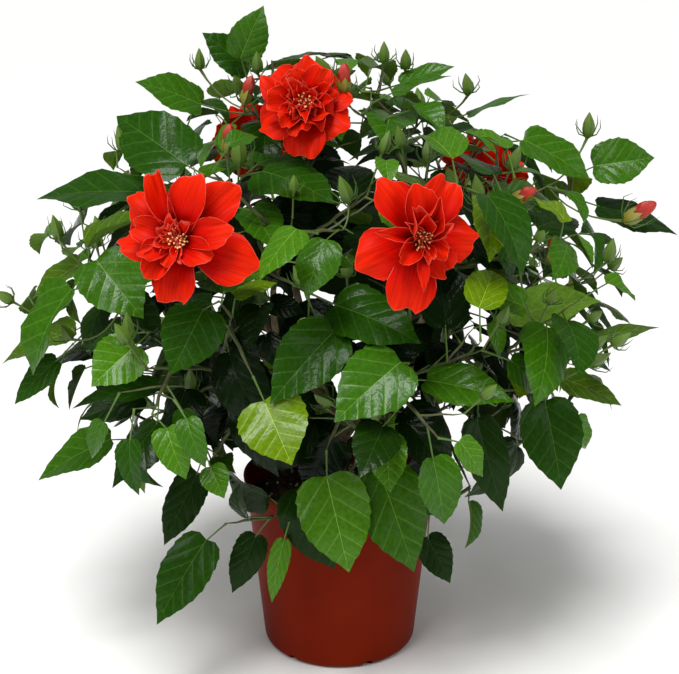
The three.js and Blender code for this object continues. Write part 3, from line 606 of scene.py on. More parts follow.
def petal_sheet(petal, draw):
    """One petal's points in its bloom's frame (right, up, front), its marks, its faces and their slots."""
    bearing, reach, breadth, foot, rise, end, cup, ruffle, point = petal
    reach, half, foot, ruffle = reach / 1000, breadth / 2000, foot / 1000, ruffle / 1000
    rise, end, bearing = math.radians(rise), math.radians(end), math.radians(bearing)
    length = (reach - PETAL["foot"]) * (end - rise) / (math.sin(end) - math.sin(rise))
    u, v = np.meshgrid(ROWS, COLUMNS, indexing="ij")
    waves = [math.tau * draw() for _ in range(5)]
    edge = 1 - 0.42 * (1 - (1 - abs(v) ** 2.2) ** 0.45) - point * (0.5 * abs(v) ** 1.3 - 0.12) * u
    edge = edge * (1 + 0.045 * np.sin(5 * v + waves[0]) + 0.009 * np.sin(19 * v + waves[1]))
    s = u * edge
    slope = mixed(rise, end, s)
    out = PETAL["foot"] + length * (np.sin(slope) - math.sin(rise)) / (end - rise)
    front = foot - length * (np.cos(slope) - math.cos(rise)) / (end - rise)
    spread = mixed(PETAL["claw"], 1, np.clip(s / 0.62, 0, 1) ** 0.8)
    spread = spread * (1 - (0.12 + 0.5 * point) * np.clip((s - 0.55) / 0.45, 0, 1) ** 2)
    across = v * half * spread * (1 - 0.22 * cup * v**2)
    lift = cup * half * v**2 * spread
    lift = lift + 1.9 * ruffle * s**2.2 * (np.sin(3.4 * v + waves[2]) + 0.55 * np.sin(9 * v + waves[3]) * s**2)
    lift = lift + 0.0012 * s * np.sin(15 * v + 3 * s + waves[1])
    lift = lift + 0.35 * ruffle * np.sin(9 * s + 4 * v + waves[4])
    lift = lift - 0.0016 * np.exp(-((v / 0.12) ** 2)) * (1 - s) * np.sign(0.2 - cup)
    out, front = out - np.sin(slope) * lift, front + np.cos(slope) * lift
    side = across + 0.05 * reach * math.sin(waves[4]) * s**2
    x = out * math.cos(bearing) - side * math.sin(bearing)
    y = out * math.sin(bearing) + side * math.cos(bearing)
    points = np.stack([x, y, front], axis=-1).reshape(-1, 3)
    marks = np.stack([s, v * half * spread, 0 * s + waves[0]], axis=-1).reshape(-1, 3)
    columns, faces, slots = len(COLUMNS), [], []
    for i in range(len(ROWS) - 1):
        for j in range(columns - 1):
            a = i * columns + j
            faces.append((a, a + columns, a + columns + 1, a + 1))
            # Faces along the rim take the pale rim colour, a painted highlight; on small petals the whole outer
            # third does.
            rim = i == len(ROWS) - 2 or (i > 3 and j in (0, columns - 2)) or (reach < 0.03 and i > 7)
            slots.append(1 if rim else 0)
    return points, marks, faces, slots


def ball(middle, radii, axis):
    """A small closed ovoid along an axis, of three rings."""
    heights, sides = [math.cos(math.pi * i / 4) for i in (1, 2, 3)], 6
    across = square_to(axis, ASIDE)
    other = np.cross(axis, across)
    points = [middle + axis * radii[1]]
    for height in heights:
        out = math.sqrt(1 - height * height) * radii[0]
        points += [middle + axis * radii[1] * height + out * (math.cos(t) * across + math.sin(t) * other)
                   for t in np.arange(sides) * math.tau / sides]
    points.append(middle - axis * radii[1])
    last = len(points) - 1
    faces = [(0, 1 + i, 1 + (i + 1) % sides) for i in range(sides)]
    for top in (1, 1 + sides):
        faces += [(top + i, top + sides + i, top + sides + (i + 1) % sides, top + (i + 1) % sides)
                  for i in range(sides)]
    faces += [(last, last - sides + (i + 1) % sides, last - sides + i) for i in range(sides)]
    return np.array(points), faces


# A petal is thin, satin tissue: orange-red outward and darker to crimson at its claw, partly the throat's own
# deeper red and partly painted shade where the petals crowd into the heart. Fine veins run along it.
petal_skin, petal_shader = new_material("satin petal tissue", "#e3210d", 0.42, Specular_IOR_Level=0.05)
marks_of = add_node(petal_skin, "ShaderNodeAttribute", attribute_name="petal")
split = add_node(petal_skin, "ShaderNodeSeparateXYZ", links={"Vector": marks_of.outputs["Vector"]})
# Darker towards the claw: the throat's own deeper red, deepened by painted shade in the crowded heart.
depth = add_node(petal_skin, "ShaderNodeValToRGB", links={"Fac": split.outputs["X"]})
depth.color_ramp.elements[0].color = linear("#5e0101")
depth.color_ramp.elements[1].color = linear("#da2404")
depth.color_ramp.elements[1].position = 0.95
for place, code in ((0.22, "#930201"), (0.5, "#c40c02")):
    depth.color_ramp.elements.new(place).color = linear(code)
veins_at = add_node(petal_skin, "ShaderNodeMapping", {"Scale": (2.2, 620, 1)},
                    {"Vector": marks_of.outputs["Vector"]})
veins = add_node(petal_skin, "ShaderNodeTexNoise", {"Scale": 1.0, "Detail": 2.0},
                 {"Vector": veins_at.outputs[0]})
vein_tone = add_node(petal_skin, "ShaderNodeValToRGB", links={"Fac": veins.outputs[0]})
for element, code, place in zip(vein_tone.color_ramp.elements, ("#dfd2cf", "#ffffff"), (0.3, 0.6)):
    element.color, element.position = linear(code), place
toned = add_node(petal_skin, "ShaderNodeMix", {"Factor": 1.0}, data_type="RGBA", blend_type="MULTIPLY")
petal_skin.node_tree.links.new(depth.outputs["Color"], toned.inputs["A"])
petal_skin.node_tree.links.new(vein_tone.outputs["Color"], toned.inputs["B"])
petal_skin.node_tree.links.new(toned.outputs["Result"], petal_shader.inputs["Base Color"])
petal_bump = add_node(petal_skin, "ShaderNodeBump", {"Strength": 0.35, "Distance": 0.0006},
                      {"Height": veins.outputs[0]})
petal_skin.node_tree.links.new(petal_bump.outputs["Normal"], petal_shader.inputs["Normal"])
# The pale rim colour is a painted highlight along the petals' edges.
rim_highlight_skin, _ = new_material("painted highlight on petal rim", "#d4331a", 0.5)
filament_skin, _ = new_material("red filament", "#d8503f", 0.5)
anther_skin, _ = new_material("gold anther", "#f2b672", 0.7)
calyx_skin, calyx_shader = new_material("green calyx", "#4c6f1e", 0.5)
add_relief(calyx_skin, calyx_shader, 500, 0.2, 0.0005)

for shoot in shoots:
    face, reach = shoot["face"], shoot["width"] / 2
    up = square_to(face, UP)
    right = np.cross(up, face)
    shift = HEART.get(shoot["name"], (0, 0))
    heart = shoot["middle"] - face * shoot["width"] * STALK["depth"] + right * shift[0] + up * shift[1]
    draw = seeded(900 + len(shoot["name"]) * 7 + ord(shoot["name"][-1]))
    petals = {"left": PETALS_LEFT, "right": PETALS_RIGHT}.get(shoot["name"]) or full_petals(draw, reach * 1000)
    points, marks, faces, slots = [], [], [], []
    for petal in petals:
        local, mark, own_faces, own_slots = petal_sheet(petal, draw)
        start = sum(len(p) for p in points)
        points.append(heart + local @ np.stack([right, up, face]))
        marks.append(mark)
        faces += [tuple(start + i for i in f) for f in own_faces]
        slots += own_slots
    piece = mesh_piece(f"petals_{shoot['name']}", np.concatenate(points), faces, [petal_skin, rim_highlight_skin], slots)
    attribute = piece.data.attributes.new("petal", "FLOAT_VECTOR", "POINT")
    attribute.data.foreach_set("vector", np.concatenate(marks).astype(np.float32).ravel())
    smooth(piece)
    apply_modifier(piece, "SOLIDIFY", thickness=PETAL["thick"], offset=0)

    crowd = []
    for i in range(STAMENS["count"]):
        bearing = 2.4 * i + 0.5 * draw()
        lean = mixed(*STAMENS["lean"], math.sqrt((i + 0.5) / STAMENS["count"]))
        aside = right * math.cos(bearing) + up * math.sin(bearing)
        heading = unit(face * math.cos(lean) + aside * math.sin(lean))
        root = heart + face * mixed(*STAMENS["root"], draw())
        end = root + heading * mixed(*STAMENS["length"], draw())
        filament = tube([root, mixed(root, end, 0.5) + face * 0.001, end], (0.0004, 0.00035, 0.0003), 3)
        crowd += [(filament, 0), (ball(end, STAMENS["anther"], heading), 1)]
    column = tube([heart, heart + face * 0.009, heart + face * 0.018], (0.0028, 0.0022, 0.0014), 8)
    crowd.append((column, 0))
    points, faces = join([part for part, _ in crowd])
    slots = [slot for part, slot in crowd for _ in part[1]]
    stamens = mesh_piece(f"stamens_{shoot['name']}", points, faces, [filament_skin, anther_skin], slots)

    start, bend, back = shoot["curve"]
    back = back + right * shift[0] + up * shift[1]
    stalk_line = np.array([on_curve((start, bend, back), t) for t in np.linspace(0, 1, 18)])
    cup_line = [back + face * height for height, _ in CUP]
    green = [tube(stalk_line, mixed(0.0021, 0.0017, np.linspace(0, 1, 18)), 7),
             tube(cup_line, [radius for _, radius in CUP], 15)]
    for count, of, first, far, wide, flare in RUFF:
        for i in range(count):
            bearing = math.tau * i / of + first
            out = right * math.cos(bearing) + up * math.sin(bearing)
            line = [back + face * 0.002 + out * 0.004, back + face * far * 0.55 + out * 0.0108,
                    back + face * far + out * flare]
            green.append(tube(line, (wide, wide * 0.9, 0.0003), 5))
    calyx = mesh_piece(f"stalk_{shoot['name']}", *join(green), [calyx_skin])
    smooth(calyx, 50)
    smooth(stamens, 50)
    for own in (piece, stamens, calyx):
        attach(own, "root")
        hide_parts(f"bloom_{shoot['name']}")

# -------------------------------------------------------------------------------- twigs and petioles
# Every bough goes on as a green leader through its own mass of foliage. Side twigs leave the leader by
# turns and fork again into finer ones, and each leaf stands off its twig on a thin petiole.
TWIG = {"root": 0.0025, "tip": 0.0015, "sides": 5, "length": (0.08, 0.15), "leader": 0.13, "shortest": 0.03,
        "stride": 0.009, "reach": 0.9, "turn": 137.5, "sway": 40, "ahead": 0.7, "spread": 0.95, "lift": 0.2,
        "first": 0.014}
FINE_TWIG = {"places": (0.3, 0.55, 0.8), "length": (0.04, 0.085), "root": 0.0015, "tip": 0.001,
             "reach": 0.94, "shortest": 0.02}
POT_CLEAR = 0.005
HOLLOWS = [  # where the crown is thin: a direction from its middle, how much it falls short, how widely
    ((0.5, 0, 0.86), 0.2, 0.38), ((-0.72, 0, 0.69), 0.1, 0.35), ((0.99, 0, 0), 0.13, 0.35),
    ((0.65, 0, -0.75), 0.22, 0.35), ((-0.6, 0, -0.8), 0.14, 0.3),
]

# The listed tones stand partly for each leaf's own green and partly for painted shade or light where it grows.
SHOWN = [  # the leaves that stand out: base, tip (mm), breadth, how far each faces the front, tone
    ((-225, -60, 600), (-350, -40, 590), 0.6, 0.3, "dark"),
    ((-165, -150, 650), (-250, -85, 690), 0.66, 0.55, "dark"),
    ((-85, -130, 640), (-5, -190, 620), 0.7, 0.4, "dark"),
    ((-5, -190, 505), (85, -240, 480), 0.66, 0.5, "dark"),
    ((-5, -220, 485), (-75, -270, 425), 0.62, 0.65, "dark"),
    ((65, -250, 460), (-5, -290, 410), 0.74, 0.55, "mid"),
    ((-80, -260, 420), (-50, -300, 365), 0.95, 0.75, "lime"),
    ((-15, -160, 290), (10, -190, 185), 0.7, 0.8, "light"),
    ((45, -140, 290), (90, -175, 180), 0.62, 0.75, "mid"),
    ((105, -110, 190), (135, -120, 135), 0.6, 0.7, "deep"),
    ((-100, -115, 195), (-125, -130, 125), 0.5, 0.6, "deep"),
    ((-155, -160, 210), (-215, -190, 120), 0.5, 0.55, "dark"),
    ((-275, -70, 300), (-365, -70, 250), 0.52, 0.4, "mid"),
    ((-315, -50, 430), (-405, -40, 390), 0.5, 0.35, "olive"),
    ((-305, -40, 510), (-365, -40, 470), 0.55, 0.4, "olive"),
    ((300, -40, 580), (395, -40, 550), 0.5, 0.4, "deep"),
    ((295, -30, 625), (365, -30, 632), 0.75, 0.6, "mid"),
    ((210, -50, 660), (285, -60, 615), 0.62, 0.4, "mid"),
    ((150, 0, 680), (220, 0, 705), 0.5, 0.15, "mid"),
    ((280, -60, 415), (375, -60, 440), 0.5, 0.2, "olive"),
    ((260, -90, 385), (330, -100, 355), 0.5, 0.4, "olive"),
    ((190, -150, 480), (285, -170, 505), 0.62, -0.6, "light"),
    ((235, -140, 375), (255, -170, 280), 0.66, 0.7, "dark"),
    ((95, -210, 425), (185, -240, 410), 0.55, 0.4, "mid"),
    ((155, -170, 365), (180, -190, 260), 0.42, 0.7, "deep"),
    ((60, -60, 715), (125, -60, 735), 0.5, 0.2, "mid"),
    ((-220, -210, 465), (-265, -240, 430), 0.85, 0.6, "light"),
    ((-210, -120, 385), (-305, -140, 370), 0.45, 0.3, "dark"),
    ((-145, -220, 510), (-175, -260, 450), 0.8, 0.7, "dark"),
    ((-145, -190, 315), (-130, -210, 285), 0.8, 0.8, "light"),
    ((-265, -170, 550), (-215, -210, 495), 0.8, 0.6, "mid"),
    ((-115, 0, 745), (-90, 0, 805), 0.66, 0.9, "mid"),
    ((-160, -20, 695), (-230, -40, 725), 0.62, 0.5, "mid"),
    ((-105, 20, 730), (-160, 20, 770), 0.6, 0.6, "dark"),
    ((-340, -40, 390), (-395, -40, 335), 0.45, 0.5, "dark"),
    ((-235, -60, 350), (-310, -70, 325), 0.5, 0.5, "deep"),
    ((-170, -90, 265), (-210, -110, 180), 0.45, 0.6, "deep"),
    ((70, -30, 720), (130, -30, 740), 0.5, 0.4, "mid"),
    ((-65, -150, 205), (-83, -160, 130), 0.3, 0.5, "light"),
    ((-45, -128, 262), (-12, -137, 160), 0.66, 0.75, "deep"),
]
WINDOW, FRONT = 0.09, np.array((0, -0.95, 0.31))  # how far in front of a shown leaf nothing else grows


def turned(v, axis, degrees):
    """A vector turned about an axis."""
    c, s = math.cos(math.radians(degrees)), math.sin(math.radians(degrees))
    return v * c + np.cross(axis, v) * s + axis * np.dot(axis, v) * (1 - c)


def crown_fullness(p):
    """How far out the foliage comes, as a share of the crown's reach: less over its hollows, and uneven."""
    x, y, z = p[..., 0] / CROWN["wide"], p[..., 1] / CROWN["deep"], p[..., 2] - CROWN["belt"]
    z = z / np.where(z > 0, CROWN["top"] - CROWN["belt"], CROWN["belt"] - CROWN["hem"])
    d = unit(np.stack([x, y, z], axis=-1) + 1e-9)
    full = 0.97 + 0.03 * (np.sin(7 * d[..., 0] + 3 * d[..., 1] + 1) + np.sin(8 * d[..., 2] - 5 * d[..., 0] + 2))
    for direction, short, width in HOLLOWS:
        full = full - short * np.exp(-((np.linalg.norm(d - unit(np.array(direction)), axis=-1) / width) ** 2))
    return full


def inside_crown(p, share):
    """In the leafy part of the crown, out to a share of its reach, or in a spot that stands proud."""
    reach = crown_reach(p)
    fits = (reach < share * crown_fullness(p)) & (reach > CROWN["bare"])
    for at, radius in PROUD:
        fits |= np.linalg.norm(p - at, axis=-1) < radius * share
    return fits


def clear_of_pot(p):
    """Whether points keep clear of the pot's wall and rim."""
    out = np.hypot(p[..., 0], p[..., 1])
    return (out > RIM_RADIUS + BAND_PROUD + POT_CLEAR) | (p[..., 2] > POT_HEIGHT + POT_CLEAR)


def clear_of_balls(p, gap):
    """Whether points keep a gap to the clear space of every bloom."""
    return np.logical_and.reduce([np.linalg.norm(p - at, axis=-1) > radius + gap for at, radius in balls])


def clear_of_rods(p, gap):
    """Whether points keep a gap to every straight stretch of stem, limb, bough and flower stalk."""
    to_point = p[..., None, :] - rod_from
    share = np.clip((to_point * rod_run).sum(-1) / (rod_run**2).sum(-1), 0, 1)
    apart = np.linalg.norm(to_point - share[..., None] * rod_run, axis=-1) - rod_radius
    return (apart > np.asarray(gap)[..., None]).all(-1)


rods = [(stem_points[i], stem_points[i + 1], stem_radius(i / 4)) for i in range(4)]
for limb, steps in [(limb, 7) for limb in limbs] + [(bough, 3) for bough in boughs]:
    line = [on_curve(limb["curve"], limb["share"] * i / steps) for i in range(steps + 1)]
    root, tip = limb["size"]["root"], limb["size"]["tip"]
    rods += [(line[i], line[i + 1], mixed(root, tip, i / steps)) for i in range(steps)]
for shoot in shoots:
    line = [on_curve(shoot["curve"], i / 4) for i in range(5)]
    rods += [(line[i], line[i + 1], STALK["radius"]) for i in range(4)]
rod_from = np.array([rod[0] for rod in rods])
rod_run = np.array([rod[1] for rod in rods]) - rod_from
rod_radius = np.array([rod[2] for rod in rods])


def shades_shown(p):
    """Whether points lie in the light of a leaf that stands out."""
    over = np.zeros(p.shape[:-1], dtype=bool)
    for base, tip, breadth, front, _ in SHOWN:
        if front > 0:
            base, tip = np.array(base) / 1000, np.array(tip) / 1000
            sides = np.stack([tip - base, FRONT * WINDOW])
            share = (p - base) @ np.linalg.pinv(sides)
            apart = np.linalg.norm(p - base - np.clip(share, (0.06, 0), 1) @ sides, axis=-1)
            over |= (apart < 0.42 * breadth * np.linalg.norm(tip - base)) & (share[..., 1] > 0.04)
    return over


def free_run(start, heading, length, mass, share=TWIG["reach"]):
    """How far a straight twig can run from a start along a heading before it meets something."""
    stride = TWIG["stride"]
    steps = np.minimum(np.arange(1, math.ceil(length / stride) + 1) * stride, length)
    p = start + heading * steps[:, None]
    gap = np.where(steps > 2 * stride, 0.006, 0.001)
    clear = (inside_crown(p, share) & in_cell(p, mass, 0.004) & clear_of_pot(p)
             & clear_of_balls(p, gap) & clear_of_rods(p, gap) & ~shades_shown(p))
    blocked = np.flatnonzero(~clear)
    if not len(blocked):
        return length
    return steps[blocked[0] - 1] if blocked[0] else 0.0


def walk(points):
    """A broken line that can be walked: its length, and its point and heading at a distance."""
    points = np.array(points)
    runs = np.diff(points, axis=0)
    far = np.linalg.norm(runs, axis=1)
    ends = np.cumsum(far)

    def at(s):
        i = min(int(np.searchsorted(ends, s)), len(far) - 1)
        return points[i] + runs[i] * (s - (ends[i] - far[i])) / far[i], runs[i] / far[i]

    return ends[-1], at


def grow_twigs(mass, draw):
    """The mass's leader, and the side twigs that leave it by turns."""
    curve, share = mass["feed"]["curve"], mass["feed"]["share"]
    middle = mass["middle"]
    outward = unit(middle - UP * CROWN["belt"])
    heading = unit(mixed(curve_heading(curve, 1), outward, 0.6) + UP * (-0.25 if mass["level"] == 0 else 0.15))
    run = free_run(middle, heading, TWIG["leader"], mass)
    leader = [on_curve(curve, share), middle] + ([middle + heading * run] if run > TWIG["shortest"] else [])
    twigs = [{"points": leader, "root": mass["feed"]["radius"], "tip": TWIG["tip"], "order": 0}]
    length, at = walk(leader)
    sides = []
    for i in range(TWIG["sides"]):
        start, axis = at(mixed(TWIG["first"], length * 0.95, (i + 0.5 * draw()) / TWIG["sides"]))
        out = turned(square_to(axis, UP), axis, TWIG["turn"] * i + TWIG["sway"] * draw())
        heading = unit(axis * TWIG["ahead"] + out * TWIG["spread"] + UP * TWIG["lift"])
        run = free_run(start, heading, mixed(*TWIG["length"], draw()), mass)
        if run >= TWIG["shortest"]:
            sides.append({"points": [start, start + heading * run], "root": TWIG["root"],
                          "tip": TWIG["tip"], "order": 1})
    return twigs, sides


def keep(twig, s):
    """Keep a twig at least as long as this."""
    twig["kept"] = max(twig.get("kept", 0), s)


def grow_fine(parent, mass, draw):
    """The finer twigs of one side twig, to its left and right by turns."""
    length, at = walk(parent["points"])
    fine = []
    for i, place in enumerate(FINE_TWIG["places"]):
        far = length * (place + 0.1 * draw())
        start, axis = at(far)
        out = turned(square_to(axis, UP), axis, 90 * (-1) ** i + 60 * (draw() - 0.5))
        heading = unit(axis * 0.75 + out * 0.75 + UP * 0.25)
        run = free_run(start, heading, mixed(*FINE_TWIG["length"], draw()), mass, FINE_TWIG["reach"])
        if run >= FINE_TWIG["shortest"]:
            fine.append({"points": [start, start + heading * run], "root": FINE_TWIG["root"],
                         "tip": FINE_TWIG["tip"], "order": 2, "parent": parent, "far": far})
    return fine


for mass in masses:
    mass["draw"] = seeded(mass["seed"])
    mass["twigs"], sides = grow_twigs(mass, mass["draw"])
    mass["twigs"] += sides
    for twig in sides:
        mass["twigs"] += grow_fine(twig, mass, mass["draw"])

# --------------------------------------------------------------------------------------------- buds
# Flower buds stand up on thin stalks from the shoots' tips: green, pointed and ribbed, in a ruff of thin
# curved bracts. A few are about to open, with a furled coral petal that comes out of the green.
BUDS = [  # the buds that stand out: foot and tip (mm)
    ((-325, -60, 545), (-330, -65, 575)), ((-240, -100, 655), (-245, -105, 685)),
    ((-160, -20, 735), (-160, -25, 760)), ((-110, -130, 645), (-110, -135, 685)),
    ((-95, -10, 730), (-95, -15, 755)), ((50, -40, 745), (50, -45, 770)),
    ((150, -10, 705), (145, -15, 730)), ((150, -170, 610), (145, -175, 645)),
    ((10, -200, 620), (0, -205, 650)), ((285, -40, 660), (285, -45, 690)),
    ((195, -180, 545), (200, -185, 580)), ((310, -70, 520), (315, -75, 550)),
    ((-305, -130, 445), (-315, -135, 465)), ((-225, -230, 480), (-225, -235, 510)),
]
OPENING = [  # the buds that are about to open: foot and tip (mm)
    ((325, -75, 570), (360, -85, 595)), ((190, -120, 605), (217, -130, 620)),
    ((234, -150, 540), (236, -155, 572)), ((-107, -80, 705), (-97, -85, 738)),
    ((-125, -110, 655), (-120, -115, 690)), ((5, -100, 720), (5, -105, 755)),
    ((-200, 190, 600), (-205, 200, 630)), ((60, 290, 500), (60, 300, 530)),
]
BUD = {"length": 0.03, "radius": 0.0066, "stalk": (0.026, 0.052), "size": (0.6, 1.08), "share": 0.6,
       "fine_share": 0.22, "lowest": 0.38, "highest": 0.765, "bracts": 7, "sides": 15, "open_calyx": 0.86}
CALYX, BRACT, STEMLET, CORAL, RIPE = range(5)  # the slots of the buds' materials
OCCUPIED = 0.006  # the side of the small boxes in which leaves' and buds' places are booked
booked = np.zeros((180, 180, 180), dtype=bool)
BOX_CORNER = np.array((-0.54, -0.54, 0.0))
NEAR = np.stack(np.meshgrid((-1, 0, 1), (-1, 0, 1), (-1, 0, 1)), axis=-1).reshape(-1, 3)


def boxes(p):
    """The small boxes that points lie in."""
    return ((p - BOX_CORNER) / OCCUPIED).astype(int)


def book(p):
    """Book the boxes that points lie in, and those next to them."""
    cells = (boxes(p)[:, None, :] + NEAR).reshape(-1, 3)
    booked[cells[:, 0], cells[:, 1], cells[:, 2]] = True


def taken(p):
    """Whether another leaf or bud has any of the boxes that points lie in."""
    cells = boxes(p)
    return booked[cells[:, 0], cells[:, 1], cells[:, 2]].any()


def nearest_wood(p):
    """The point of a leader or side twig that lies nearest to a point."""
    best = (math.inf,)
    for mass in masses:
        for twig in mass["twigs"]:
            if twig["order"] < 2:
                length, at = walk(twig["points"])
                for s in np.arange(0.01, length, 0.01):
                    q = at(s)[0]
                    if np.linalg.norm(q - p) < best[0]:
                        best = (np.linalg.norm(q - p), q, mass, twig, s)
    keep(best[3], best[4])
    return best[1], best[2]


def turned_shape(foot, axis, length, radius, profile, ribs, depth, twist):
    """A closed ribbed ovoid: heights and radii along an axis, with ribs that wind a little round it."""
    across, sides = square_to(axis, ASIDE), BUD["sides"]
    other = np.cross(axis, across)
    turns = np.arange(sides) * math.tau / sides
    rings = []
    for t, share in profile:
        r = radius * share * (1 + depth * np.cos(ribs * turns + twist * t))
        middle = foot + axis * length * t
        rings.append(middle + (r * np.cos(turns))[:, None] * across + (r * np.sin(turns))[:, None] * other)
    faces = []
    for ring in range(len(profile) - 1):
        for i in range(sides):
            a, b = ring * sides + i, ring * sides + (i + 1) % sides
            faces.append((a, b, b + sides, a + sides))
    last = (len(profile) - 1) * sides
    faces += [tuple(range(sides - 1, -1, -1)), tuple(last + i for i in range(sides))]
    return np.concatenate(rings), faces


CALYX_PROFILE = ((0, 0.35), (0.1, 0.8), (0.28, 1), (0.5, 0.95), (0.7, 0.68), (0.87, 0.34), (1, 0.05))
FURLED_PROFILE = ((0, 0.5), (0.15, 0.85), (0.4, 1.05), (0.62, 1), (0.82, 0.7), (0.95, 0.36), (1, 0.1))
bud_parts = []


def grow_bud(start, foot, tip, opening, draw):
    """A bud on its stalk, with its bracts; an opening one shows its petals."""
    axis, length = unit(tip - foot), np.linalg.norm(tip - foot)
    bend = mixed(start, foot, 0.6) - axis * 0.3 * np.linalg.norm(foot - start)
    line = np.array([on_curve((start, bend, foot + axis * 0.001), t) for t in np.linspace(0, 1, 7)])
    bud_parts.append((tube(line, (0.0013, 0.0011, 0.001, 0.001, 0.0011, 0.0013, 0.002), 5), STEMLET))
    radius = BUD["radius"] * mixed(0.9, 1.12, draw()) * (length / BUD["length"]) ** 0.5
    share = BUD["open_calyx"] if opening else 1
    profile = CALYX_PROFILE[:5] if opening else CALYX_PROFILE
    calyx = turned_shape(foot, axis, length * share * 1.02, radius, profile, 5, 0.14, 0.5)
    bud_parts.append((calyx, RIPE if opening else CALYX))
    if opening:
        inside = foot + axis * length * 0.3
        furled = turned_shape(inside, axis, length * 0.68, radius * 0.95, FURLED_PROFILE, 4, 0.2, 3.5)
        bud_parts.append((furled, CORAL))
    across = square_to(axis, ASIDE)
    other = np.cross(axis, across)
    for i in range(BUD["bracts"]):
        turn = math.tau * (i + 0.35 * draw()) / BUD["bracts"]
        out = across * math.cos(turn) + other * math.sin(turn)
        flare, far = mixed(1.7, 2.9, draw()), mixed(0.5, 0.8, draw()) * length
        line = [foot + axis * 0.002 + out * radius * 0.5,
                foot + axis * far * 0.25 + out * radius * 1.5,
                foot + axis * far * 0.65 + out * radius * flare,
                foot + axis * far * 1.1 + out * radius * flare * 0.92]
        bud_parts.append((tube(line, (0.0009, 0.0009, 0.0007, 0.0002), 3), BRACT))
    book(np.array([foot, mixed(foot, tip, 0.5), tip, mixed(start, foot, 0.5)]))


draw_buds = seeded(77)
for row, opening in ((BUDS, False), (OPENING, True)):
    for foot, tip in row:
        foot, tip = np.array(foot) / 1000, np.array(tip) / 1000
        start, mass = nearest_wood(foot - unit(tip - foot) * 0.03)
        grow_bud(start, foot, tip, opening, draw_buds)
for mass in masses:
    for twig in mass["twigs"]:
        end, axis = twig["points"][-1], unit(twig["points"][-1] - twig["points"][-2])
        stalk, chance, size = mixed(*BUD["stalk"], draw_buds()), draw_buds(), mixed(*BUD["size"], draw_buds())
        axis = unit(axis + UP * 0.9 + (np.array((draw_buds(), draw_buds(), draw_buds())) - 0.5) * 0.7)
        foot, tip = end + axis * stalk, end + axis * (stalk + BUD["length"] * size)
        spots = np.array([foot, mixed(foot, tip, 0.5), tip])
        if chance > BUD["fine_share" if twig["order"] == 2 else "share"]:
            continue
        if foot[2] < BUD["lowest"] or tip[2] > BUD["highest"] or taken(spots):
            continue
        if clear_of_balls(spots, 0.004).all() and crown_reach(tip) < 1.03 * crown_fullness(tip):
            keep(twig, math.inf)
            grow_bud(end, foot, tip, False, draw_buds)

# Calyx and bracts are thin green tissue, the calyx a little paler, and straw-coloured where it opens; the
# furled petals are satin coral.
bud_skin, bud_shader = new_material("pale green calyx", "#4f6c17", 0.5)
add_relief(bud_skin, bud_shader, 600, 0.15, 0.0004)
bract_skin, _ = new_material("green bract", "#355711", 0.55)
stalk_skin, _ = new_material("bud stalk skin", "#4c5f20", 0.55)
ripe_skin, _ = new_material("ripe calyx, green turning to straw", "#7f7a24", 0.5)
coral_skin, coral_shader = new_material("furled coral petal", "#a01e08", 0.5)
add_relief(coral_skin, coral_shader, 300, 0.3, 0.0006)
points, faces = join([part for part, _ in bud_parts])
slots = [slot for part, slot in bud_parts for _ in part[1]]
bud_skins = [bud_skin, bract_skin, stalk_skin, coral_skin, ripe_skin]
buds = mesh_piece("flower_buds", points, faces, bud_skins, slots)
smooth(buds, 50)
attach(buds, "root")
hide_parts(*(n for n in frame["nodes"] if n.startswith("leaves_")))

# -------------------------------------------------------------------------------------------- leaves
# The leaves are broad, pointed and toothed, folded a little along a pale midrib, with the blade quilted
# up between side veins. Young leaves are light; the others are glossy greens dealt out by place as painted
# shade and light, deeper the lower and further in they grow; their undersides are matt.
STATIONS = (0, 0.03, 0.08, 0.15, 0.24, 0.34, 0.45, 0.57, 0.7, 0.84, 1)  # where side veins leave the midrib
MARGIN = (  # where they end, as shares of length and half breadth
    (0, 0), (-0.025, 0.38), (0.02, 0.72), (0.11, 0.92), (0.22, 1), (0.35, 1.01), (0.48, 0.95),
    (0.61, 0.81), (0.74, 0.57), (0.87, 0.26), (1, 0),
)
LEAF = {"length": (0.084, 0.122), "young": (0.052, 0.084), "breadth": (0.52, 0.68), "petiole": (0.02, 0.04),
        "internode": 0.0225, "turn": 144, "tries": 9, "retry": 51, "shrink": 0.045, "rib": 0.011,
        "quilt": 0.009, "tooth": 0.062, "tooth_at": 0.74}
# The shade tone is a near-black painted shade for leaves deep in the crown; deep, dark, mid and light are dealt
# by place as painted shade and light, and light and lime are also young leaves' own colour.
TONES = {  # upper face, underside
    "shade": ("#0a1b04", "#1a2e0a"), "deep": ("#142d05", "#304c12"), "dark": ("#1f4306", "#3e5e1a"),
    "mid": ("#305b07", "#527721"), "olive": ("#3f5c0c", "#5a7a26"), "light": ("#3f6d0a", "#648a26"),
    "lime": ("#5a7806", "#6e8a1a"),
}


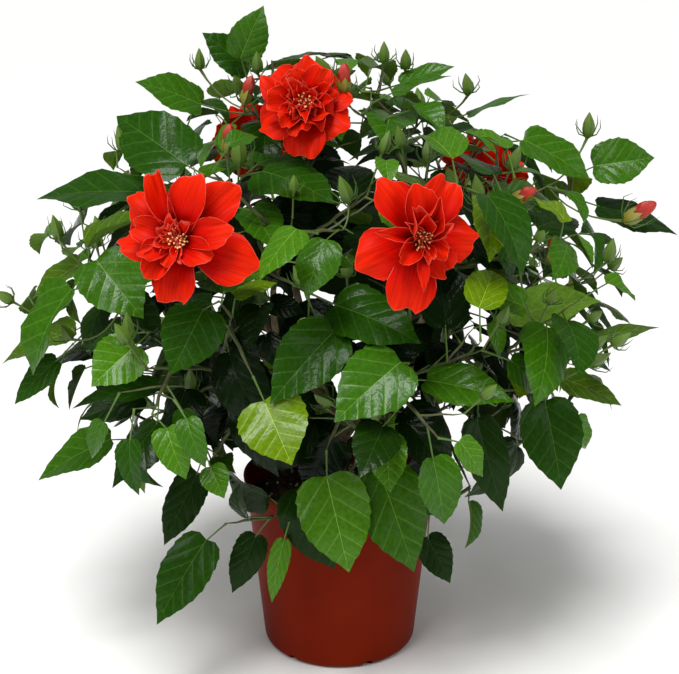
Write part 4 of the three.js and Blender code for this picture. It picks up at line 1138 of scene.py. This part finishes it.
def leaf_template():
    """One flat leaf, one long and two across: its points, faces, and whether each is top, rib or underside."""
    points, index = [], {}

    def put(key, x, y, z):
        index[key] = len(points)
        points.append((x, y, z))

    for i, (station, (x, y)) in enumerate(zip(STATIONS, MARGIN)):
        rib = LEAF["rib"] * (1 - 0.75 * station)
        if i == 10:
            put("tip", 1, 0, 0)
            continue
        for side in (-1, 1):
            put(("keel", side, i), station, 1.6 * side * rib, -0.012 * (1 - 0.7 * station))
            put(("rib", side, i), station, side * rib, 0)
            if i:
                put(("margin", side, i), x, side * y, 0)
                bulge = LEAF["quilt"] * (1.1 if i % 2 else 0.35)
                put(("inner", side, i), mixed(station, x, 0.5), side * y * 0.52, bulge)
                put(("below", side, i), mixed(station, x, 0.5), side * y * 0.52, bulge - 0.008)
            if 0 < i < 9:
                next_x, next_y = MARGIN[i + 1]
                share, proud = LEAF["tooth_at"], LEAF["tooth"] * (1.1 - 0.5 * station)
                put(("tooth", side, i), mixed(x, next_x, share), side * (mixed(y, next_y, share) + proud), 0)
    faces, kinds = [], []

    def face(kind, *keys):
        faces.append([index[key] for key in keys])
        kinds.append(kind)

    for i in range(10):
        tip = i == 9
        for strip, side in (("rib", -1), ("keel", 1)):
            ahead = ["tip"] if tip else [(strip, side, i + 1), (strip, -side, i + 1)]
            face("rib", (strip, side, i), *ahead, (strip, -side, i))
        for side in (-1, 1):
            names = ("rib", "inner", "margin", "keel", "below")
            rib, inner, margin, keel, below = ((name, side, i) for name in names)
            next_rib, next_inner, next_margin, next_keel, next_below = ((name, side, i + 1) for name in names)
            tooth = ("tooth", side, i)
            if i == 0:
                rows = [("top", rib, next_rib, next_inner, next_margin),
                        ("under", rib, next_margin, next_below),
                        ("under", keel, rib, next_below, next_keel)]
            elif tip:
                rows = [("top", "tip", margin, inner, rib), ("under", "tip", keel, below, margin)]
            else:
                rows = [("top", rib, next_rib, next_inner, inner),
                        ("top", inner, next_inner, next_margin, tooth),
                        ("top", inner, tooth, margin),
                        ("under", keel, below, next_below, next_keel),
                        ("under", below, tooth, next_margin, next_below),
                        ("under", below, margin, tooth)]
            for kind, *keys in rows:
                face(kind, *(keys if side > 0 else keys[:1] + keys[:0:-1]))
    face("rib", ("rib", -1, 0), ("rib", 1, 0), ("keel", 1, 0), ("keel", -1, 0))
    return np.array(points), faces, kinds


LEAF_POINTS, LEAF_FACES, LEAF_KINDS = leaf_template()
net_u, net_v = np.meshgrid(np.linspace(0, 1, 15), np.linspace(-1, 1, 9), indexing="ij")
stations = np.array(STATIONS)
margin_x, margin_y = np.array(MARGIN).T
NET = np.stack([mixed(net_u, np.interp(net_u, stations, margin_x), abs(net_v)),
                net_v * np.interp(net_u, stations, margin_y), 0 * net_u], axis=-1).reshape(-1, 3)


def shape_leaf(leaf, flat):
    """Points of a flat leaf, folded, waved, twisted and hung, at the leaf's own place."""
    length, half = leaf["length"], leaf["length"] * leaf["breadth"] / 2
    x, y, z = flat[:, 0], flat[:, 1] * half, flat[:, 2] * length
    across = abs(flat[:, 1])
    z = z + leaf["fold"] * abs(y) - leaf["cup"] * half * across**2
    z = z + leaf["wave"] * half * across**2 * np.sin(leaf["phase"] + 9 * x + 1.7 * np.sign(y))
    twist = leaf["twist"] * x
    y, z = y * np.cos(twist) - z * np.sin(twist), y * np.sin(twist) + z * np.cos(twist)
    y = y + leaf["bow"] * length * x * x
    hang = leaf["hang"] * x
    down = (1 - np.cos(hang)) / leaf["hang"] * length
    ahead = np.sin(hang) / leaf["hang"] * length
    ahead, up = ahead + z * np.sin(hang), z * np.cos(hang) - down
    return (leaf["base"] + ahead[:, None] * leaf["along"] + y[:, None] * leaf["across"]
            + up[:, None] * leaf["face"])


def loose(leaf, draw, young):
    """Give a leaf its own fold, wave, twist and hang."""
    leaf.update(
        breadth=mixed(*LEAF["breadth"], draw()), fold=mixed(-0.12, 0.55, draw()) + (0.15 if young else 0),
        cup=mixed(0, 0.25, draw()), wave=mixed(0.05, 0.2, draw()), phase=math.tau * draw(),
        twist=mixed(-0.4, 0.4, draw()), bow=mixed(-0.08, 0.08, draw()), hang=mixed(0.25, 1.25, draw()))


def pose_leaf(node, reach, petiole, length, draw):
    """A leaf that stands off its node on a petiole and hangs, with its face to the light."""
    base = node + reach * petiole
    light = unit(np.array((base[0], base[1], base[2] - CROWN["belt"]))
                 / np.array((CROWN["wide"], CROWN["deep"], CROWN["wide"])))
    height = (base[2] - CROWN["hem"]) / (CROWN["top"] - CROWN["hem"])
    tilt = draw()
    face = light * mixed(0.3, 1.1, tilt) + UP * mixed(1, 0.4, tilt)
    face = unit(face + (np.array((draw(), draw(), draw())) - 0.5) * 0.6)
    along = square_to(face, reach + light * 0.6 + UP * mixed(-0.6, 0.2, height))
    return {"node": node, "reach": reach, "base": base, "along": along, "face": face,
            "across": np.cross(face, along), "length": length}


def fits(leaf):
    """The net of a leaf that is all in the crown, clear of everything else and of other leaves, or None."""
    if np.dot(leaf["reach"], leaf["along"]) < 0.15 or abs(np.dot(leaf["reach"], leaf["across"])) > 0.8:
        return None
    net = shape_leaf(leaf, NET)
    if taken(net) or not (inside_crown(net, 1) & clear_of_pot(net) & clear_of_balls(net, 0.003)).all():
        return None
    return net if clear_of_rods(net, 0.004).all() else None


leaves = []
for base, tip, breadth, front, tone in SHOWN:
    base, tip = np.array(base) / 1000, np.array(tip) / 1000
    along = unit(tip - base)
    face = square_to(along, UP * (1 - abs(front)) - np.array((0, 1, 0)) * front + 0.1 * ASIDE)
    start, mass = nearest_wood(base - along * 0.03)
    reach = unit(along + unit(base - start))
    node = base - reach * min(0.03, 0.6 * np.linalg.norm(base - start))
    length = np.linalg.norm(tip - base) * 1.03
    along = unit(along + face * 0.17)
    face = square_to(along, face)
    way = math.sin(90 * base[0] + 70 * base[2])
    leaf = {"node": node, "reach": reach, "base": base, "along": along, "face": face,
            "across": np.cross(face, along), "length": length, "breadth": breadth, "mass": mass, "young": False,
            "tone": tone, "fold": 0.2 + 0.14 * way, "cup": 0.12, "wave": 0.13, "phase": 90 * base[0],
            "twist": 0.22 * way, "bow": 0.05 * way, "hang": 0.36}
    net = shape_leaf(leaf, NET)
    for step in np.arange(0, WINDOW * (front > 0) + 0.001, OCCUPIED * 2):
        book(net + FRONT * step)
    leaves.append(leaf)
    mass["twigs"].append({"points": [start, node], "root": TWIG["root"], "tip": TWIG["tip"], "order": 1,
                          "kept": math.inf})

for order in (1, 2, 0):
    for mass in masses:
        draw = mass["draw"]
        for twig in [twig for twig in mass["twigs"] if twig["order"] == order]:
            length, at = walk(twig["points"])
            turn, s = 360 * draw(), length - 0.003
            while s > length * 0.12:
                turn += LEAF["turn"]
                node, axis = at(s)
                at_tip = s > length - 0.004
                for k in range(LEAF["tries"]):
                    out = turned(square_to(axis, ASIDE), axis, turn + LEAF["retry"] * k)
                    reach = unit(out + axis * (0.3 + (draw() if at_tip else 0)))
                    young = at_tip and order > 0
                    size = mixed(*LEAF["young" if young else "length"], draw()) * (1 - LEAF["shrink"] * k)
                    leaf = pose_leaf(node, reach, mixed(*LEAF["petiole"], draw()), size, draw)
                    loose(leaf, draw, young)
                    net = fits(leaf)
                    if net is not None:
                        book(net)
                        keep(twig, s + 0.002)
                        leaves.append({**leaf, "mass": mass, "young": young})
                        break
                s -= LEAF["internode"]


def wander(points, swing, step):
    """A broken line with a small bend at each of its nodes."""
    length, at = walk(points)
    count = max(3, int(length / step) + 1)
    line = np.array([at(s)[0] for s in np.linspace(0, length, count)])
    seed = float(line[0] @ np.array((37.0, 91.0, 53.0)))
    for i in range(1, count - 1):
        line[i] += np.array([math.sin(seed + 2.4 * i + 2.1 * k) for k in range(3)]) * swing
    return line


# A twig ends a little past its last leaf or bud. Twigs are green wood with a thin skin; petioles are green, a
# little swollen where they meet the twig.
green_wood = []
for mass in masses:
    for twig in mass["twigs"]:
        if "parent" in twig and "kept" in twig:
            keep(twig["parent"], twig["far"])
    for twig in mass["twigs"]:
        length, at = walk(twig["points"])
        kept = min(length, max(twig.get("kept", 0), 0.03 if twig["order"] == 0 else 0))
        if not kept:
            continue
        inner = [p for p in twig["points"][1:-1] if np.linalg.norm(p - twig["points"][0]) < kept - 0.002]
        line = wander([twig["points"][0], *inner, at(kept)[0]], 0.0009, 0.012)
        radii = mixed(twig["root"], twig["tip"], np.linspace(0, 1, len(line)) * kept / length)
        radii = radii * np.minimum(1, 0.45 + 0.3 * np.arange(len(line))[::-1])
        green_wood.append(tube(line, radii, 6 if twig["order"] < 2 else 5))
petioles = []
for leaf in leaves:
    heel = leaf["base"] + leaf["along"] * 0.003
    bend = leaf["node"] + leaf["reach"] * np.linalg.norm(leaf["base"] - leaf["node"]) * 0.6
    line = np.array([on_curve((leaf["node"], bend, heel), t) for t in (0, 0.12, 0.4, 0.7, 1)])
    petioles.append(tube(line, (0.0017, 0.0012, 0.001, 0.0009, 0.0008), 4))
twig_skin, twig_shader = new_material("green twig skin", "#44451f", 0.6)
fibres = add_relief(twig_skin, twig_shader, 420, 0.3, 0.0005)
mottle(twig_skin, twig_shader, fibres, 60, ("#38341c", "#4c5a24"))
petiole_skin, _ = new_material("petiole skin", "#4c6a22", 0.5)
for name, parts, skin in (("green_twigs", green_wood, twig_skin), ("petioles", petioles, petiole_skin)):
    piece = mesh_piece(name, *join(parts), [skin])
    smooth(piece, 60)
    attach(piece, "root")
    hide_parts(*(n for n in frame["nodes"] if n.startswith("leaves_")))

SIDE_VEINS = {"slant": -0.34, "along": 5.2, "width": 0.09}  # their slope, count, and width as a share of a gap
QUILT = {"rise": 0.0024, "top": 0.36, "under": 0.25}  # how far the blade is raised, and how strongly


def quilt(material, shader, strength, blade, vein):
    """Raise the blade between its paler side veins, by its marks: along it, and across from the midrib."""
    marks = add_node(material, "ShaderNodeAttribute", attribute_name="blade")
    parts = add_node(material, "ShaderNodeSeparateXYZ", links={"Vector": marks.outputs["Vector"]})
    aside = add_node(material, "ShaderNodeMath", links={0: parts.outputs["Y"]}, operation="ABSOLUTE")
    slanted = add_node(material, "ShaderNodeMath", {1: SIDE_VEINS["slant"]},
                       {0: aside.outputs[0], 2: parts.outputs["X"]}, operation="MULTIPLY_ADD")
    spaced = add_node(material, "ShaderNodeMath", {1: SIDE_VEINS["along"]}, {0: slanted.outputs[0]},
                      operation="MULTIPLY")
    between = add_node(material, "ShaderNodeMath", {1: 0.5}, {0: spaced.outputs[0]}, operation="PINGPONG")
    raised = add_node(material, "ShaderNodeMath", {1: 0.45}, {0: between.outputs[0]}, operation="POWER")
    from_rib = add_node(material, "ShaderNodeMapRange", {"From Min": 0.0, "From Max": 0.25},
                        {"Value": aside.outputs[0]})
    bulge = add_node(material, "ShaderNodeMath", links={0: raised.outputs[0], 1: from_rib.outputs[0]},
                     operation="MULTIPLY")
    wide = add_node(material, "ShaderNodeMapping", {"Scale": (22, 8, 1)}, {"Vector": marks.outputs["Vector"]})
    fine = add_node(material, "ShaderNodeTexNoise", {"Scale": 1.0, "Detail": 3.0}, {"Vector": wide.outputs[0]})
    height = add_node(material, "ShaderNodeMath", {1: 0.55}, {0: fine.outputs[0], 2: bulge.outputs[0]},
                      operation="MULTIPLY_ADD")
    bump = add_node(material, "ShaderNodeBump", {"Strength": strength, "Distance": QUILT["rise"]},
                    {"Height": height.outputs[0]})
    material.node_tree.links.new(bump.outputs["Normal"], shader.inputs["Normal"])
    patchy = add_node(material, "ShaderNodeValToRGB", links={"Fac": fine.outputs[0]})
    for element, share, place in zip(patchy.color_ramp.elements, (0.8, 1.1), (0.35, 0.65)):
        element.color, element.position = [c * share for c in linear(blade)[:3]] + [1], place
    off_vein = add_node(material, "ShaderNodeMapRange",
                        {"From Min": 0.0, "From Max": SIDE_VEINS["width"], "To Min": 0.72},
                        {"Value": between.outputs[0]})
    veined = add_node(material, "ShaderNodeMix", links={"Factor": off_vein.outputs[0]}, data_type="RGBA")
    veined.inputs["A"].default_value = linear(vein)
    material.node_tree.links.new(patchy.outputs["Color"], veined.inputs["B"])
    material.node_tree.links.new(veined.outputs["Result"], shader.inputs["Base Color"])


# The upper face of a leaf is a waxy, glossy cuticle, and the underside is matt and paler.
RIBS = {"dark": "#4a6e24", "mid": "#658c33", "olive": "#82984a", "light": "#7fa845", "lime": "#9fb545"}
# Leaves get deeper tones the lower and further in they grow, as painted shade, and the light tone high and
# outside, as painted light.
TONE_STEPS = ((0.55, "deep"), (0.77, "dark"), (0.96, "mid"), (math.inf, "light"))
LIGHT_SHARE, LIME_SHARE = 0.5, 0.14  # of the young leaves, and of the light ones among them
OLIVE_SHARE, OLIVE_FROM, SHADE_REACH = 0.22, 0.66, 0.62
blade_skins, blade_slots = [], {}
for tone, (upper, under) in TONES.items():
    gloss = 0.17 if tone in ("mid", "light", "lime", "olive") else 0.1
    rib = RIBS.get(tone, under)
    for kind, code, roughness, level in (("top", upper, 0.22, gloss), ("rib", rib, 0.45, 0.12),
                                         ("under", under, 0.6, 0.08)):
        skin, shader = new_material(f"{tone} leaf {kind}", code, roughness, Specular_IOR_Level=level)
        if kind in QUILT:
            quilt(skin, shader, QUILT[kind], code, rib)
        blade_slots[tone, kind] = len(blade_skins)
        blade_skins.append(skin)


def leaf_tone(leaf, draw):
    """Young leaves are light; the rest get painted shade, deeper the lower and further in they grow, and
    painted light high and outside.
    """
    if leaf["young"] and draw() < LIGHT_SHARE:
        return "lime" if draw() < LIME_SHARE else "light"
    reach = float(crown_reach(leaf["base"]))
    # Deep inside the crown a leaf takes the near-black tone: painted shade.
    if reach < SHADE_REACH:
        return "shade"
    high = (leaf["base"][2] - CROWN["hem"]) / (CROWN["top"] - CROWN["hem"])
    shade = 0.62 * reach + 0.3 * high + 0.55 * (draw() - 0.5)
    if shade > OLIVE_FROM and draw() < OLIVE_SHARE:
        return "olive"
    return next(tone for step, tone in TONE_STEPS if shade < step)


for ring, *_ in RINGS:
    own = [leaf for leaf in leaves if leaf["mass"]["ring"] == ring]
    points, faces, slots = [], [], []
    for leaf in own:
        tone = leaf.get("tone") or leaf_tone(leaf, leaf["mass"]["draw"])
        start = len(points) * len(LEAF_POINTS)
        points.append(shape_leaf(leaf, LEAF_POINTS))
        faces += [tuple(start + i for i in face) for face in LEAF_FACES]
        slots += [blade_slots[tone, kind] for kind in LEAF_KINDS]
    piece = mesh_piece(f"foliage_{ring}", np.concatenate(points), faces, blade_skins, slots)
    attribute = piece.data.attributes.new("blade", "FLOAT_VECTOR", "POINT")
    marks = np.concatenate([LEAF_POINTS * (1, 1, 0) + (0.13 * (i % 7), 0, 3.7 * i) for i in range(len(own))])
    attribute.data.foreach_set("vector", marks.astype(np.float32).ravel())
    smooth(piece, 60)
    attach(piece, "root")
    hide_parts(*(n for n in frame["nodes"] if n.startswith(f"leaves_{ring}_")))

# --------------------------------------------------------------------- floor, light and camera
# The shrub stands on a plain pale floor under broad soft lamps, as in a studio: two square ones in front,
# and one broad, distant one high up in front to the left. A pale backdrop is all round it.
FLOOR_SIDE = 40.0
LAMPS = [  # place, target, side, watts
    ((-1.6, -2.6, 2.6), (0, 0, 0.45), 1.4, 40),
    ((2.2, -2.2, 1.7), (0, 0, 0.45), 1.6, 16),
]
SUN = {"heading": (0.12, 0.42, -1), "spread": 24, "strength": 2.9}
SKY = "#ffffff"
SKY_STRENGTH, BACKDROP_STRENGTH = 0.29, 0.85
LENS, SENSOR = 79.5, 36.0
CAMERA_PLACE, CAMERA_PITCH = (0, -1.75, 0.975), 18

deselect()
bpy.ops.mesh.primitive_plane_add(size=FLOOR_SIDE, location=(0, 0, 0))
floor = bpy.context.object
floor.name = "studio_floor"
floor_paint, _ = new_material("matt white paint", "#f4f4f2", 0.9)
floor.data.materials.append(floor_paint)

for place, target, side, watts in LAMPS:
    bpy.ops.object.light_add(type="AREA", location=place)
    lamp = bpy.context.object
    lamp.data.size = side
    lamp.data.energy = watts
    lamp.rotation_euler = (Vector(target) - Vector(place)).to_track_quat("-Z", "Y").to_euler()

bpy.ops.object.light_add(type="SUN", rotation=Vector(SUN["heading"]).to_track_quat("-Z", "Y").to_euler())
bpy.context.object.data.energy = SUN["strength"]
bpy.context.object.data.angle = math.radians(SUN["spread"])

world = bpy.data.worlds.new("studio")
bpy.context.scene.world = world
world.use_nodes = True
lit_side = world.node_tree.nodes["Background"]
lit_side.inputs["Color"].default_value = linear(SKY)
lit_side.inputs["Strength"].default_value = SKY_STRENGTH
seen_side = add_node(world, "ShaderNodeBackground", {"Color": linear(SKY), "Strength": BACKDROP_STRENGTH})
path = add_node(world, "ShaderNodeLightPath")
sides = add_node(world, "ShaderNodeMixShader", links={
    0: path.outputs["Is Camera Ray"], 1: lit_side.outputs[0], 2: seen_side.outputs[0]})
world.node_tree.links.new(sides.outputs[0], world.node_tree.nodes["World Output"].inputs["Surface"])

bpy.ops.object.camera_add(location=CAMERA_PLACE, rotation=(math.radians(90 - CAMERA_PITCH), 0, 0))
camera = bpy.context.object
camera.data.lens = LENS
camera.data.sensor_width = SENSOR
camera.data.dof.use_dof = False
bpy.context.scene.camera = camera
bpy.context.scene.view_settings.view_transform = "Standard"
